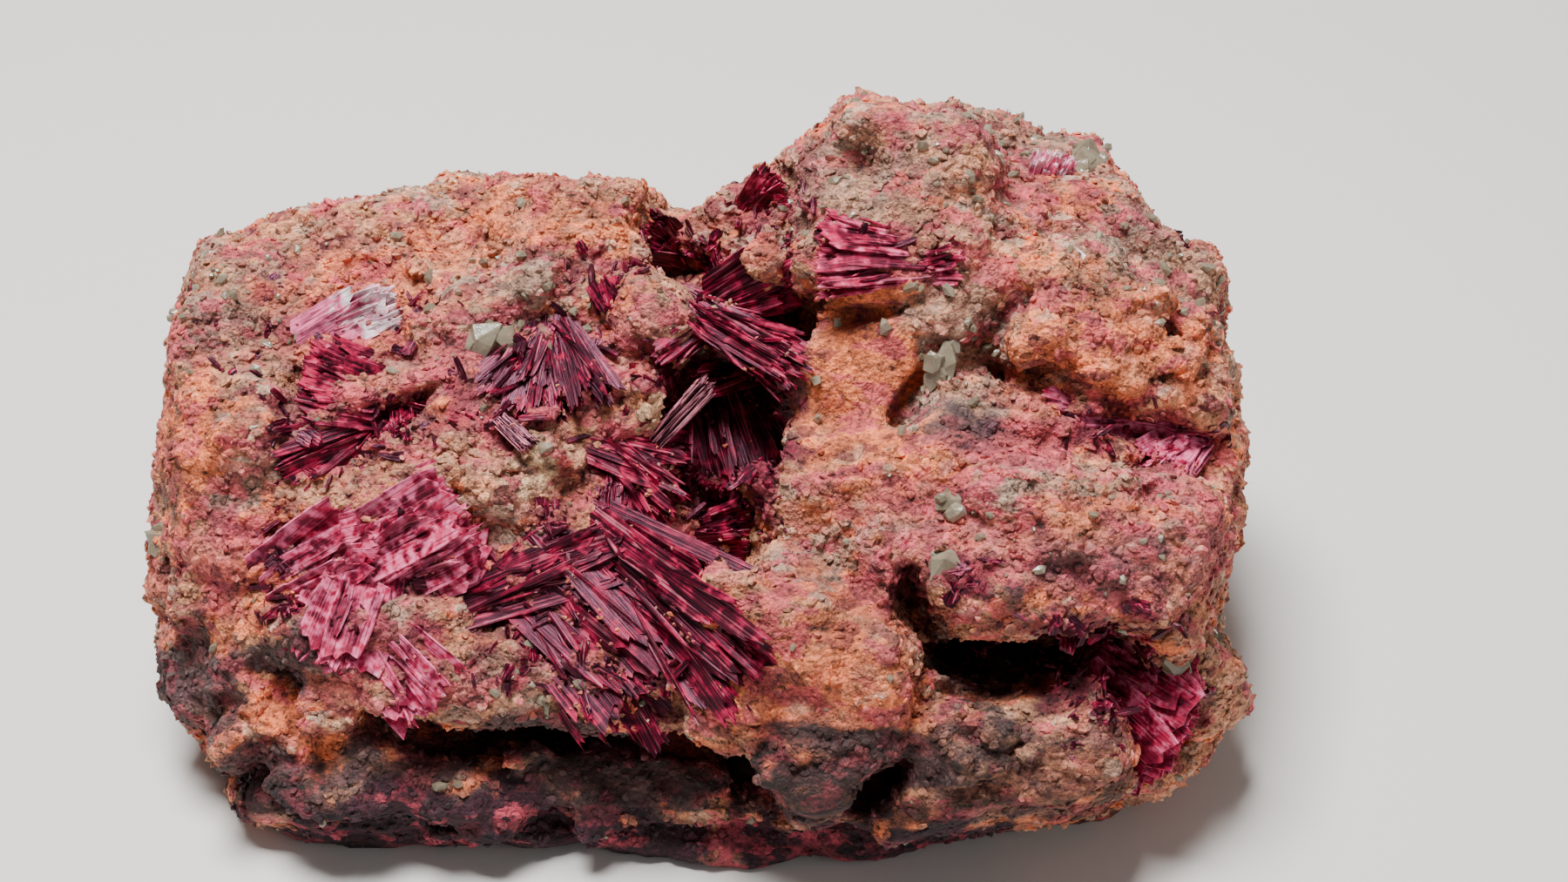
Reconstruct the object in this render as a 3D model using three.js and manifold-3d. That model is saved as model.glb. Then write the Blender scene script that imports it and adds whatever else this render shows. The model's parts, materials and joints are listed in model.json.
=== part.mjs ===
// Erythrite specimen: a hand-sized block of granular matrix, broken to a leaning front face, with
// sprays of flat erythrite blades and short quartz crystals grown in its hollows and clefts.
//
// Millimetres, +Z up. The block stands on its underside, and the broken face looks towards -Y and
// up. Places on that face are given in the face's own frame: a runs across it along +X, b runs up
// it and w stands out of it.

import * as THREE from 'three';
import { ConvexGeometry } from 'three/addons/geometries/ConvexGeometry.js';
import { mergeVertices } from 'three/addons/utils/BufferGeometryUtils.js';
import Module from 'manifold-3d';

const wasm = await Module();
wasm.setup();

// ---------------------------------------------------------------------------------------------
// Driving dimensions
// ---------------------------------------------------------------------------------------------

const FACE_TILT = 38; // degrees that the broken face leans back from upright
const FACE_HEIGHT = 23.3; // height of the face frame's origin over the underside
const ORIGIN = [-0.22, 6.42]; // X and Y of the block's middle, which becomes the part's origin
const HEART = [0, 6, 17]; // point inside the block that sees its whole surface
const BLOCK_STRETCH = [2, 1.15, 1]; // length : depth : height of the block, to spread its facets
const SURFACE_DETAIL = 10; // subdivisions of the surface net
const FRONT_SHARE = 0.42; // how far the net is drawn towards the broken face, 0 for evenly spread
const SOCKET_GAP = 0.3; // clearance round a crystal where it sits in the matrix
const LUMP_BLEND = 1.2; // radius of the valleys between lumps of the face
const CORE_BLEND = 2; // radius of the valleys between the masses of the block
const HOLE_BLEND = 1; // radius of the rim of a hollow
const WALL_BLEND = 0.8; // radius of the edge between a lump and the block's wall
const FLOOR_BLEND = 0.3; // radius of the edge round the underside

// Unevenness as [height, size of a grain of it, seed]
const BENDS = [[2.4, 9, 11], [0.9, 3.6, 21]]; // how far the forms wander from their plain shapes
const CRAGS = [[0.7, 4.2, 1], [0.45, 2.1, 2]]; // relief of the broken surface
const WALL_WANDER = [2, 8, 31]; // how far the rim of the outline moves in and out of depth
const FOOT_HOLLOWS = [1.6, 7, 41]; // shallow hollows of the underside
const FOOT_FLAT = 0.5; // height taken off those hollows, which leaves flat ground between them
const FOOT_LIMIT = 1.2; // depth of the deepest
const BEND_ON_FORMS = 0.8; // share of the wander that masses and lumps take
const BEND_ON_HOLLOWS = 0.5; // share that hollows take
const WALL_INSET = { front: 0.011, back: 0.016 }; // how fast the wall draws in away from the outline
const WALL_CRAG = 0.5; // share of the relief on the wall

const NET_START = 75; // distance from the heart that is clear of the block
const NET_STEP = 0.6; // share of the distance to the matrix that a search step takes
const NET_REACHED = 0.02; // distance that counts as on the surface
const BLADE_TWIST = 12; // degrees that a blade turns on its own axis, at most
const SHORTEST_BLADE = 0.25; // share of a spray's length that a blade may be short of it
const FLAT_SNAP = 0.06; // heights under this belong to the flat underside

// ---------------------------------------------------------------------------------------------
// Frames
// ---------------------------------------------------------------------------------------------

const radians = THREE.MathUtils.degToRad;
const LEAN_COS = Math.cos(radians(FACE_TILT));
const LEAN_SIN = Math.sin(radians(FACE_TILT));

function toFace([x, y, z]) {
  const height = z - FACE_HEIGHT;
  return [x, y * LEAN_SIN + height * LEAN_COS, height * LEAN_SIN - y * LEAN_COS];
}

const FACE_TO_BLOCK = new THREE.Matrix4().makeBasis(
  new THREE.Vector3(1, 0, 0),
  new THREE.Vector3(0, LEAN_SIN, LEAN_COS),
  new THREE.Vector3(0, -LEAN_COS, LEAN_SIN),
).setPosition(0, 0, FACE_HEIGHT);

// ---------------------------------------------------------------------------------------------
// The shape of the matrix: masses, lumps and hollows
// ---------------------------------------------------------------------------------------------

// Masses of the block, in the block's frame: kind, centre, half sizes, edge radius of a box.
const MASSES = [
  ['box', [-18.5, 10.5, 10.5], [18.5, 17, 12.5], 5],
  ['egg', [-18, 15, 17], [20, 11, 17]],
  ['box', [17, 12, 11.5], [19, 16, 13.5], 6],
  ['egg', [19, 15, 20], [18, 12, 19]],
  ['egg', [0, 12, 15], [20, 14, 16]],
  ['egg', [-28, 18, 11], [9, 8, 10]],
  ['egg', [-9, 20.5, 9], [12, 6.5, 9]],
  ['egg', [11, 19.5, 13], [11, 7.5, 12]],
  ['egg', [27, 16.5, 11], [9, 9, 11]],
  ['egg', [-20, 18.5, 22], [12, 7, 8]],
  ['egg', [3, 19, 24], [9, 7, 7]],
  ['egg', [-21, 16.5, 18], [18, 10, 10]],
  ['egg', [14, 16, 20], [20, 10.5, 11]],
];

// Lumps and ledges of the broken face, in the face's frame: kind, place of the top of the lump,
// half sizes, turns in degrees about w, b and a, edge radius of a box.
const LUMPS = {
  leftShoulder: ['box', [-20.5, 11.5, -2], [18.5, 11, 9], [5, 0, -24], 4],
  leftFront: ['box', [-21, -4, 2.6], [17, 12, 9], [0, 0, -2], 4],
  leftSide: ['egg', [-33.5, -2, 1], [8.5, 17, 12], [0, 0, 0]],
  leftFoot: ['egg', [-34, -13, 1.5], [6.5, 6, 8], [0, 0, 0]],
  leftHump: ['egg', [-31, 3, 3], [5, 6, 6], [0, 0, 0]],
  leftSwell: ['egg', [-14, 12, 0.5], [9, 5, 6], [10, 0, 0]],
  leftTopBack: ['egg', [-18, 16, -6], [17, 7, 8], [5, 0, -20]],
  lip: ['box', [-11, -14.3, 4.8], [12, 3, 7], [-7, 0, 6], 2],
  lipLeft: ['box', [-22.5, -12.5, 4.6], [7, 4.2, 7], [6, 0, 6], 2],
  footLedge: ['box', [-30.5, -18, 1.6], [6, 3.4, 8], [-14, 0, 0], 2],
  upperBand: ['box', [-15, -21.3, 1.8], [17, 2.2, 8], [-4, 0, 0], 1.5],
  lowerBand: ['box', [-14, -25, -0.6], [20, 2.8, 8], [-2, 0, 0], 1.5],
  middleBand: ['box', [8, -25.6, 0.4], [15, 2.8, 8], [1, 0, 0], 1.5],
  middle: ['box', [-5, 4, -1], [9, 14, 9], [0, 0, -8], 3],
  tanLump: ['egg', [-2.3, 12.8, 2.2], [4.6, 3.6, 5], [-15, 0, 0]],
  crumbLump: ['egg', [-11.4, 2, 4.4], [3.6, 2.6, 5], [0, 0, 0]],
  crumbHeap: ['egg', [-3.8, 5.7, 2.6], [2.6, 1.6, 4], [0, 0, 0]],
  tanBand: ['egg', [-18, -0.8, 4.9], [12, 3, 6], [4, 0, 0]],
  middleLow: ['box', [-8, -9, 2.2], [10, 7, 8], [0, 0, 0], 3],
  notchRidge: ['egg', [-1.5, 18.6, -6], [6, 3.2, 8], [0, 0, 0]],
  notchRight: ['egg', [5.4, 19.5, -2.5], [5, 4, 8], [10, 0, 0]],
  notchTan: ['egg', [5, 16.4, -2], [4, 3, 6], [0, 0, 0]],
  rightSlab: ['box', [23, 2, 1.5], [15, 20, 9], [0, 0, -10], 4],
  crown: ['box', [14.4, 19.4, 4.6], [8, 7.4, 8], [-12, -8, -6], 4],
  crownPeak: ['egg', [12.2, 25.5, -4.5], [4.5, 4.5, 7], [0, 0, 0]],
  ridgeA: ['egg', [20.5, 23.8, -5], [7.5, 6, 9], [0, 0, 0]],
  ridgeB: ['egg', [26.5, 20.5, -4.5], [7, 6.5, 9], [0, 0, 0]],
  ridgeC: ['egg', [31, 15.5, -4], [7, 7, 9], [0, 0, 0]],
  ridgeD: ['egg', [35.2, 12.5, -5], [5, 7, 8], [0, 0, 0]],
  crownSlope: ['egg', [21, 16.5, 2.5], [9, 7, 9], [-25, 0, 0]],
  quartzValley: ['egg', [18, 9.5, 1.5], [6, 8, 9], [0, 0, 0]],
  smoothFacet: ['box', [11.7, 8, 3.8], [4.3, 6.3, 6], [0, -10, 6], 1.2],
  rightLump: ['box', [29, 10, 5], [8.6, 5, 8], [-15, 10, -8], 3],
  pinkShoulder: ['egg', [23.5, 3, 6.2], [9.5, 4.2, 8], [-8, 0, 0]],
  rightEdgeA: ['egg', [36.5, 4.5, -1], [4.8, 8, 9], [0, 0, 0]],
  rightEdgeB: ['egg', [36, -2, 0.5], [4.8, 7, 9], [0, 0, 0]],
  longLump: ['box', [23.8, -5, 10.4], [13, 6.4, 9], [-11, 6, -4], 5],
  longLumpEnd: ['egg', [10.3, -0.8, 8.2], [7, 5.6, 8], [-8, 0, 0]],
  nose: ['box', [8, -13, 10.6], [8.6, 6.8, 9], [-14, -4, 4], 4],
  noseTop: ['egg', [8, -8.5, 8.4], [6.5, 5, 8], [0, 0, 0]],
  noseFoot: ['egg', [12, -18.3, 7.2], [7.5, 4.4, 8], [10, 0, 0]],
  lowLump: ['box', [22.2, -19.3, 7], [9, 4.8, 8], [12, -4, 14], 2],
  lowBase: ['egg', [22, -23, 3.5], [10, 3.6, 8], [4, 0, 0]],
  rightFoot: ['egg', [35, -14.5, 0], [5.4, 6, 8], [0, 0, 0]],
  rightMiddle: ['egg', [32, -9.5, 1.5], [6.5, 4.5, 8], [0, 0, 0]],
  rightBase: ['egg', [31, -21, 0.5], [6, 4, 8], [10, 0, 0]],
};

// Hollows, clefts and undercuts, in the face's frame: kind, centre, half sizes, turns, edge radius.
const HOLLOWS = {
  vugTop: ['egg', [6, 11.2, -2], [3.2, 4.2, 8], [10, 0, 0]],
  vugMiddle: ['egg', [2.6, 4.6, 0.5], [5.4, 5.2, 8], [0, 0, 0]],
  vugFoot: ['egg', [6, 1.6, -1], [2.2, 3.6, 8], [0, 0, 0]],
  upperHollow: ['egg', [-0.6, 17, -4], [3.4, 2, 4.5], [-10, 0, 0]],
  cave: ['egg', [22.8, -12.6, 2.5], [7.6, 2.7, 9.5], [-5, 0, 0]],
  cleft: ['egg', [16.3, -8.8, 8], [1.6, 4, 7], [20, 0, 0]],
  undercut: ['box', [-12.5, -18.4, 4], [12.5, 1.2, 7], [-5, 0, 0], 1],
  rightCrevice: ['egg', [31, 4, 3], [6.5, 1.2, 5], [-10, 0, 0]],
  leftCrevice: ['egg', [-23.4, 4.4, 3], [7, 1.7, 4], [28, 0, 0]],
  middleCrevice: ['egg', [1.6, -1.2, 3], [3.6, 2.2, 7], [-25, 0, 0]],
  lowCrevice: ['egg', [3.2, -5.8, 4], [2.6, 1.6, 6], [30, 0, 0]],
  pit: ['egg', [-14, 0.6, 5], [1.5, 0.8, 3], [10, 0, 0]],
  plateBay: ['egg', [31.4, -15.4, 3], [5.4, 2.4, 6], [-32, 0, 0]],
  noseUndercut: ['egg', [13.8, -20.6, 6], [3.2, 1.9, 5.5], [35, 0, 0]],
  noseSide: ['egg', [-0.8, -11, 7], [1, 6, 4], [-8, 0, 0]],
  crownFoot: ['egg', [11, 12.4, 5.4], [4.6, 1, 3.4], [4, 0, 0]],
  crownSide: ['egg', [6.4, 18.8, 1.5], [0.9, 4.6, 5], [-4, 0, 0]],
  facetSide: ['egg', [16.2, 8, 4.6], [0.8, 4.5, 3], [-8, 0, 0]],
};

// Hollows that run in behind a lump.
const DEEP_HOLLOWS = ['cave', 'cleft', 'plateBay'];

// Outline of the block seen square to the broken face, at depth OUTLINE_DEPTH.
const OUTLINE_DEPTH = -6;
const OUTLINE_ROUND = 0.2; // radius of its corners
const OUTLINE_APEX = [6.33, 3.07, 190]; // the walls of the outline narrow towards this point
const OUTLINE = [
  [-41.5, -4.5], [-41.5, -9.5], [-40.5, -16], [-37.5, -19.5], [-36.5, -22], [-34, -25],
  [-30, -26], [-20, -27], [-6.5, -27.5], [3.5, -28.5], [10, -28.5], [19.5, -26.5],
  [28.5, -25], [34.5, -23], [41, -17], [40.5, -14], [38, -11.5], [40.5, -2.5], [41, 2],
  [40.5, 6.5], [38.5, 10.5], [39, 14.5], [38, 17], [34, 18.5], [30, 25], [26.5, 27],
  [24.5, 28.5], [21, 28.5], [17, 27.5], [13, 29], [11, 28.5], [8, 25], [5, 23.5], [0, 21],
  [-6.5, 22], [-12, 22], [-18, 22.5], [-23.5, 21], [-31, 20], [-37, 17], [-39, 11],
  [-39.5, 5.5], [-40.5, -0.5],
];

// ---------------------------------------------------------------------------------------------
// Crystals
// ---------------------------------------------------------------------------------------------

// Outline of one erythrite blade: narrow root, nearly parallel sides and an oblique tip.
const BLADE_OUTLINE = [[0, -0.3], [0.86, -0.5], [1, 0.34], [0.12, 0.5]];

// Each node is one intergrown group of sprays. A spray runs from root to tip, in the face's frame.
// blade is the width and thickness of one of its count blades. open is the width of the band that
// their roots stand in, the degrees that they fan out by, and the degrees that they roll edge on.
const ERYTHRITE = {
  erythrite_pale_blade: [
    { root: [-28.4, 9.6, -0.7], tip: [-19.4, 13.7, -0.4], blade: [1.5, 0.9], count: 3, open: [1.6, 8, 10] },
  ],
  erythrite_left_block: [
    { root: [-22.4, 6.6, 0.2], tip: [-28.6, 8.6, 1.4], blade: [1.9, 1.2], count: 3, open: [2, 24, 20] },
  ],
  erythrite_left_blade: [
    { root: [-21.6, 4.6, -0.8], tip: [-30.6, 0.4, 3.4], blade: [1.7, 0.9], count: 2, open: [1.2, 9, -25] },
    { root: [-21.5, 5.6, -0.6], tip: [-20.7, 2.5, 3.9], blade: [1.2, 1], count: 1, open: [0, 0, 0] },
    { root: [-21.6, 4.9, -0.4], tip: [-16, 2.8, 3.9], blade: [1.4, 0.9], count: 2, open: [0.8, 10, 15] },
  ],
  erythrite_radial_spray: [
    { root: [-10.9, 11.8, -1], tip: [-12, 4.2, 3.2], blade: [1.3, 0.8], count: 6, open: [1, 74, 10] },
  ],
  erythrite_tuft: [
    { root: [-5.6, 12.6, 0.4], tip: [-5.9, 16, 0.2], blade: [1.1, 0.7], count: 3, open: [0.8, 50, 0] },
  ],
  erythrite_cross_blades: [
    { root: [-1.6, 13.6, -0.6], tip: [8.3, 7.2, 5.2], blade: [1.5, 0.9], count: 3, open: [1.2, 7, -20] },
    { root: [0.9, 12, 0.9], tip: [-3.6, 9.2, 2], blade: [1.3, 0.8], count: 1, open: [1, 18, 15] },
    { root: [0, 12.6, 0], tip: [8.6, 15.4, 1.4], blade: [1.5, 0.8], count: 2, open: [1, 26, 20] },
  ],
  erythrite_mid_blades: [
    { root: [-9.6, 4.3, 1.2], tip: [-0.6, 0.9, 0.2], blade: [1.6, 0.9], count: 3, open: [1.4, 14, -15] },
    { root: [-8.2, 3.9, 1], tip: [-1.6, -3, 1], blade: [1.6, 0.9], count: 2, open: [1.4, 16, 20] },
    { root: [-6, 1.4, 0.6], tip: [-6.4, -2.2, 2.4], blade: [2, 0.7], count: 1, open: [0, 0, 0] },
  ],
  erythrite_shards: [
    { root: [-1, -4.2, -1.2], tip: [4.4, -2.8, 1], blade: [1.5, 0.8], count: 2, open: [1, 14, 20] },
    { root: [-0.8, -3.9, -1.2], tip: [2, -6.8, 0.6], blade: [1.3, 0.8], count: 2, open: [0.8, 20, 0] },
  ],
  erythrite_central_spray: [
    { root: [-14.6, -4.6, 2.4], tip: [-3.2, -16, 5.6], blade: [2.6, 1.1], count: 3, open: [5, 8, 0] },
    { root: [-17.4, -8.4, 3.6], tip: [-4.6, -3.9, 3.6], blade: [1.8, 1], count: 2, open: [1.6, 12, -20] },
    { root: [-8, -3.2, 1.8], tip: [5.8, -13.6, 10.8], blade: [2, 1], count: 3, open: [2, 16, 20] },
    { root: [-6.6, -12, 4.6], tip: [-1.8, -19, 3.9], blade: [1.4, 0.8], count: 1, open: [0.8, 14, 0] },
  ],
  erythrite_left_plates: [
    { root: [-25, -6.4, 2.6], tip: [-15.6, -1.4, 5.6], blade: [2.4, 1], count: 3, open: [3.6, 8, 0] },
    { root: [-30.2, -8.8, 2.4], tip: [-22.4, -5.4, 4.2], blade: [1.9, 1], count: 2, open: [2.4, 22, 10] },
    { root: [-28.4, -4.4, 2.4], tip: [-21.8, -3.2, 4.6], blade: [1.4, 0.8], count: 1, open: [1, 12, 0] },
    { root: [-23.4, -5.6, 3.7], tip: [-26, -13.6, 5.6], blade: [1.9, 1], count: 2, open: [2.4, 20, 0] },
    { root: [-24, -10, 4], tip: [-18.2, -16.2, 5.6], blade: [1.6, 0.8], count: 2, open: [1.4, 14, 10] },
  ],
  erythrite_nest: [
    { root: [17.2, 16.2, 4.8], tip: [8.2, 16.5, 5.6], blade: [1.5, 0.8], count: 3, open: [1.8, 26, 20] },
    { root: [15, 15.6, 4.8], tip: [19.2, 16.4, 6.6], blade: [1.2, 0.8], count: 1, open: [1, 24, 0] },
  ],
  erythrite_notch: [
    { root: [3.6, 20, -4.6], tip: [8.2, 22.6, -0.6], blade: [1.4, 0.8], count: 3, open: [1.6, 40, 15] },
  ],
  erythrite_ridge_flake: [
    { root: [25.9, 21.4, -3.6], tip: [26.7, 24.4, -2.2], blade: [1.5, 0.7], count: 2, open: [0.6, 20, 20] },
  ],
  erythrite_right_crevice: [
    { root: [30.6, 4.7, 2.6], tip: [24, 5, 6.2], blade: [1.2, 0.8], count: 1, open: [0.6, 12, 20] },
    { root: [29.4, 4.8, 2.6], tip: [37, 3.7, 1.4], blade: [1.4, 0.9], count: 3, open: [1, 16, 0] },
    { root: [36.4, 3.6, 0.6], tip: [32, 0.2, 5.6], blade: [1.5, 0.8], count: 2, open: [1.2, 26, 15] },
  ],
  erythrite_right_plate: [
    { root: [28.2, -13.8, -1.6], tip: [36, -18.8, 3], blade: [2.1, 1], count: 3, open: [3.2, 12, 10] },
  ],
};

// Crusts that line a hollow: sprays as above, grown from a common floor of centre and half sizes.
const CRUSTS = {
  vug_crust: {
    floor: { centre: [2.2, 5.4, -5.6], size: [5, 6.4, 2.4] },
    sprays: [
      { root: [0, 8.6, -5.4], tip: [2.4, -2, -2.6], blade: [2.4, 1], count: 2, open: [4, 10, 10] },
      { root: [6, 9.6, -6], tip: [-1.6, 8.8, 0.4], blade: [1.5, 0.8], count: 2, open: [2, 20, 20] },
      { root: [-1, 6, -5], tip: [-5.6, 5.2, 1.4], blade: [1.6, 0.9], count: 3, open: [2.4, 44, 0] },
      { root: [4.6, 5, -6], tip: [6.6, 0.6, -2], blade: [1.4, 0.8], count: 1, open: [1.2, 14, 20] },
    ],
  },
  hollow_crust: {
    floor: { centre: [-0.6, 17, -8.2], size: [3, 1.8, 1.6] },
    sprays: [
      { root: [-0.6, 17, -8.4], tip: [-4.2, 18.6, -4], blade: [1.3, 0.8], count: 2, open: [1, 30, 0] },
      { root: [-0.6, 17, -8.4], tip: [2.4, 16.6, -4.6], blade: [1.3, 0.8], count: 1, open: [1, 24, 15] },
    ],
  },
  cave_crust: {
    floor: { centre: [22.6, -13.4, -6], size: [6.6, 2.4, 1.8] },
    sprays: [
      { root: [19, -13.4, -6], tip: [16.4, -9.2, 2.4], blade: [1.1, 0.7], count: 1, open: [0.8, 14, 0] },
      { root: [19.4, -14, -6], tip: [18.6, -15.6, 3.2], blade: [1.3, 0.7], count: 2, open: [1.6, 26, 15] },
      { root: [22, -13, -6], tip: [20.4, -13.2, 1.4], blade: [1, 0.7], count: 1, open: [0.8, 20, 0] },
      { root: [26.6, -12.8, -6], tip: [25.4, -14.6, -1.4], blade: [1.2, 0.7], count: 1, open: [1, 24, 0] },
    ],
  },
};

// Quartz: six-sided crystals, in the face's frame: centre, radius, length, direction of the axis.
const QUARTZ = {
  quartz_pale: { centre: [-15.4, 10.1, 0.2], radius: 1.7, length: 4.4, axis: [0.5, 0.8, 0.4] },
  quartz_left_prism: { centre: [-30.9, 3.1, 3.3], radius: 0.9, length: 4.6, axis: [-0.1, 0.95, 0.3] },
  quartz_grey: { centre: [17.4, -5.6, 9.9], radius: 1.5, length: 3.4, axis: [0.9, 0.1, 0.4] },
  quartz_long_lump: { centre: [17.6, -1.3, 9], radius: 1.1, length: 3, axis: [0.9, 0.2, 0.4] },
  quartz_ridge: { centre: [28.4, 24, -7.2], radius: 1.8, length: 4.4, axis: [0.4, 0.9, 0.2] },
  quartz_right: { centre: [34, -12.7, 2.9], radius: 1.7, length: 4, axis: [-0.4, 0.7, 0.6] },
  quartz_right_edge: { centre: [37.2, -11.7, 0.4], radius: 1, length: 2.8, axis: [0.6, 0.6, 0.5] },
  quartz_left_chip: { centre: [-39.8, -4.4, -4.4], radius: 1.2, length: 3.2, axis: [-0.8, 0.4, 0.3] },
  quartz_crown: { centre: [12, 26.4, 1], radius: 1.5, length: 4, axis: [-0.3, 0.9, 0.4] },
  quartz_top: { centre: [-13, 14.3, -0.7], radius: 1.2, length: 3.2, axis: [0.3, 0.9, 0.3] },
  quartz_left_top: { centre: [-36.2, 15.9, -4.8], radius: 1.3, length: 3.4, axis: [-0.5, 0.7, 0.4] },
  quartz_slope: { centre: [26.3, 15.8, 4.7], radius: 1.4, length: 3.4, axis: [0.7, 0.4, 0.5] },
  quartz_valley: { centre: [17.6, 8.4, 4], radius: 1.3, length: 4.2, axis: [0.2, 0.9, 0.4] },
};

// ---------------------------------------------------------------------------------------------
// Lattice noise
// ---------------------------------------------------------------------------------------------

function latticeValue(i, j, k, seed) {
  let h = Math.imul(i, 73856093) ^ Math.imul(j, 19349663);
  h ^= Math.imul(k, 83492791) ^ Math.imul(seed, 668265263);
  h = Math.imul(h ^ (h >>> 15), 2246822519);
  h = Math.imul(h ^ (h >>> 13), 3266489917);
  h = (h ^ (h >>> 16)) >>> 0;
  return (h / 4294967295) * 2 - 1;
}

// Smooth noise from -1 to 1 with grains of the given size.
function noise([x, y, z], size, seed) {
  const cell = [x, y, z].map((v) => Math.floor(v / size));
  const part = [x, y, z].map((v, i) => v / size - cell[i]);
  const ease = part.map((f) => f * f * (3 - 2 * f));
  let sum = 0;
  for (let corner = 0; corner < 8; corner++) {
    const step = [corner & 1, (corner >> 1) & 1, corner >> 2];
    const weight = step.reduce((product, s, i) => product * (s ? ease[i] : 1 - ease[i]), 1);
    sum += weight * latticeValue(cell[0] + step[0], cell[1] + step[1], cell[2] + step[2], seed);
  }
  return sum;
}

function unevenness([height, size, seed], point) {
  return height * noise(point, size, seed);
}

// ---------------------------------------------------------------------------------------------
// Distance to the matrix
// ---------------------------------------------------------------------------------------------

const clamp = THREE.MathUtils.clamp;

function smoothMin(a, b, radius) {
  const share = clamp(0.5 + (0.5 * (b - a)) / radius, 0, 1);
  return b + (a - b) * share - radius * share * (1 - share);
}

function smoothMax(a, b, radius) {
  return -smoothMin(-a, -b, radius);
}

// A form is a shape with its centre and axes worked out once.
function form(kind, centre, size, turns = [0, 0, 0], edge = 0) {
  return { kind, centre, size, edge, axes: turnMatrix(turns).elements };
}

function formDistance({ kind, centre, size, edge, axes }, point) {
  const [x, y, z] = point.map((v, i) => v - centre[i]);
  const local = [0, 4, 8].map((i) => x * axes[i] + y * axes[i + 1] + z * axes[i + 2]);
  if (kind === 'egg') {
    const scaled = local.map((v, i) => v / size[i]);
    const reach = Math.hypot(...scaled);
    const slope = Math.hypot(...scaled.map((v, i) => v / size[i]));
    return (reach * (reach - 1)) / Math.max(slope, 1e-6);
  }
  const past = local.map((v, i) => Math.abs(v) - size[i] + edge);
  return Math.hypot(...past.map((v) => Math.max(v, 0))) + Math.min(Math.max(...past), 0) - edge;
}

const masses = MASSES.map(([kind, centre, size, edge]) => form(kind, centre, size, [0, 0, 0], edge));
const lumps = Object.values(LUMPS).map(([kind, [a, b, w], size, turns, edge]) => (
  form(kind, [a, b, w - size[2]], size, turns, edge)
));
const hollows = Object.values(HOLLOWS).map(([kind, centre, size, turns, edge]) => (
  form(kind, centre, size, turns, edge)
));

function turnMatrix(turns) {
  const [aboutW, aboutB, aboutA] = turns.map(radians);
  return new THREE.Matrix4().makeRotationFromEuler(new THREE.Euler(aboutA, aboutB, aboutW, 'ZYX'));
}

// Distance from a point of the face to the outline polygon, less than 0 inside it.
function outlineDistance(a, b) {
  let nearest = Infinity;
  let inside = false;
  OUTLINE.forEach(([a1, b1], i) => {
    const [a0, b0] = OUTLINE[(i + OUTLINE.length - 1) % OUTLINE.length];
    const edge = [a0 - a1, b0 - b1];
    const share = clamp(((a - a1) * edge[0] + (b - b1) * edge[1]) / (edge[0] ** 2 + edge[1] ** 2), 0, 1);
    nearest = Math.min(nearest, Math.hypot(a - a1 - edge[0] * share, b - b1 - edge[1] * share));
    if (b1 > b !== b0 > b && a < a1 + ((b - b1) * edge[0]) / edge[1]) inside = !inside;
  });
  return (inside ? -nearest : nearest) - OUTLINE_ROUND;
}

// The outline's walls, drawn in more and more away from the depth of the outline.
function wallDistance(point, roughness) {
  const [a, b, w] = toFace(point);
  const [apexA, apexB, apexW] = OUTLINE_APEX;
  const spread = (apexW - w) / (apexW - OUTLINE_DEPTH);
  const wall = outlineDistance(apexA + (a - apexA) / spread, apexB + (b - apexB) / spread);
  const depth = w - OUTLINE_DEPTH + unevenness(WALL_WANDER, point);
  const inset = (depth > 0 ? WALL_INSET.front : WALL_INSET.back) * depth * depth;
  return wall + inset - WALL_CRAG * roughness;
}

function moved(point, by, share) {
  return point.map((v, i) => v + share * by[i]);
}

function matrixDistance(point) {
  const bend = [0, 1, 2].map((axis) => (
    BENDS.reduce((sum, [height, size, seed]) => sum + unevenness([height, size, seed + axis], point), 0)
  ));
  const bent = moved(point, bend, BEND_ON_FORMS);
  const onFace = toFace(bent);
  const inHollow = toFace(moved(point, bend, BEND_ON_HOLLOWS));
  const roughness = CRAGS.reduce((sum, crag) => sum + unevenness(crag, point), 0);
  let distance = NET_START;
  for (const mass of masses) distance = smoothMin(distance, formDistance(mass, bent), CORE_BLEND);
  for (const lump of lumps) distance = smoothMin(distance, formDistance(lump, onFace), LUMP_BLEND);
  distance -= roughness;
  for (const hollow of hollows) distance = smoothMax(distance, -formDistance(hollow, inHollow), HOLE_BLEND);
  distance = smoothMax(distance, wallDistance(point, roughness), WALL_BLEND);
  const [x, y, z] = point;
  const foot = clamp(unevenness(FOOT_HOLLOWS, [x, y, 0]) - FOOT_FLAT, 0, FOOT_LIMIT);
  return smoothMax(distance, foot - z, FLOOR_BLEND);
}

// ---------------------------------------------------------------------------------------------
// Solids
// ---------------------------------------------------------------------------------------------

function withSharedVertices(geometry) {
  geometry.deleteAttribute('normal');
  geometry.deleteAttribute('uv');
  return mergeVertices(geometry, 1e-4);
}

function toSolid(geometry) {
  const merged = withSharedVertices(geometry);
  return new wasm.Manifold(new wasm.Mesh({
    numProp: 3,
    vertProperties: new Float32Array(merged.attributes.position.array),
    triVerts: new Uint32Array(merged.index.array),
  }));
}

function toGeometry(solid) {
  const { vertProperties, triVerts } = solid.getMesh();
  const geometry = new THREE.BufferGeometry();
  geometry.setAttribute('position', new THREE.BufferAttribute(new Float32Array(vertProperties), 3));
  geometry.setIndex(new THREE.BufferAttribute(new Uint32Array(triVerts), 1));
  geometry.computeVertexNormals();
  return geometry;
}

function joined(solids) {
  return solids.reduce((whole, solid) => whole.add(solid));
}

// The largest piece of a solid that a cut has parted.
function mainPiece(solid) {
  return solid.decompose().reduce((best, piece) => (piece.volume() > best.volume() ? piece : best));
}

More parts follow.
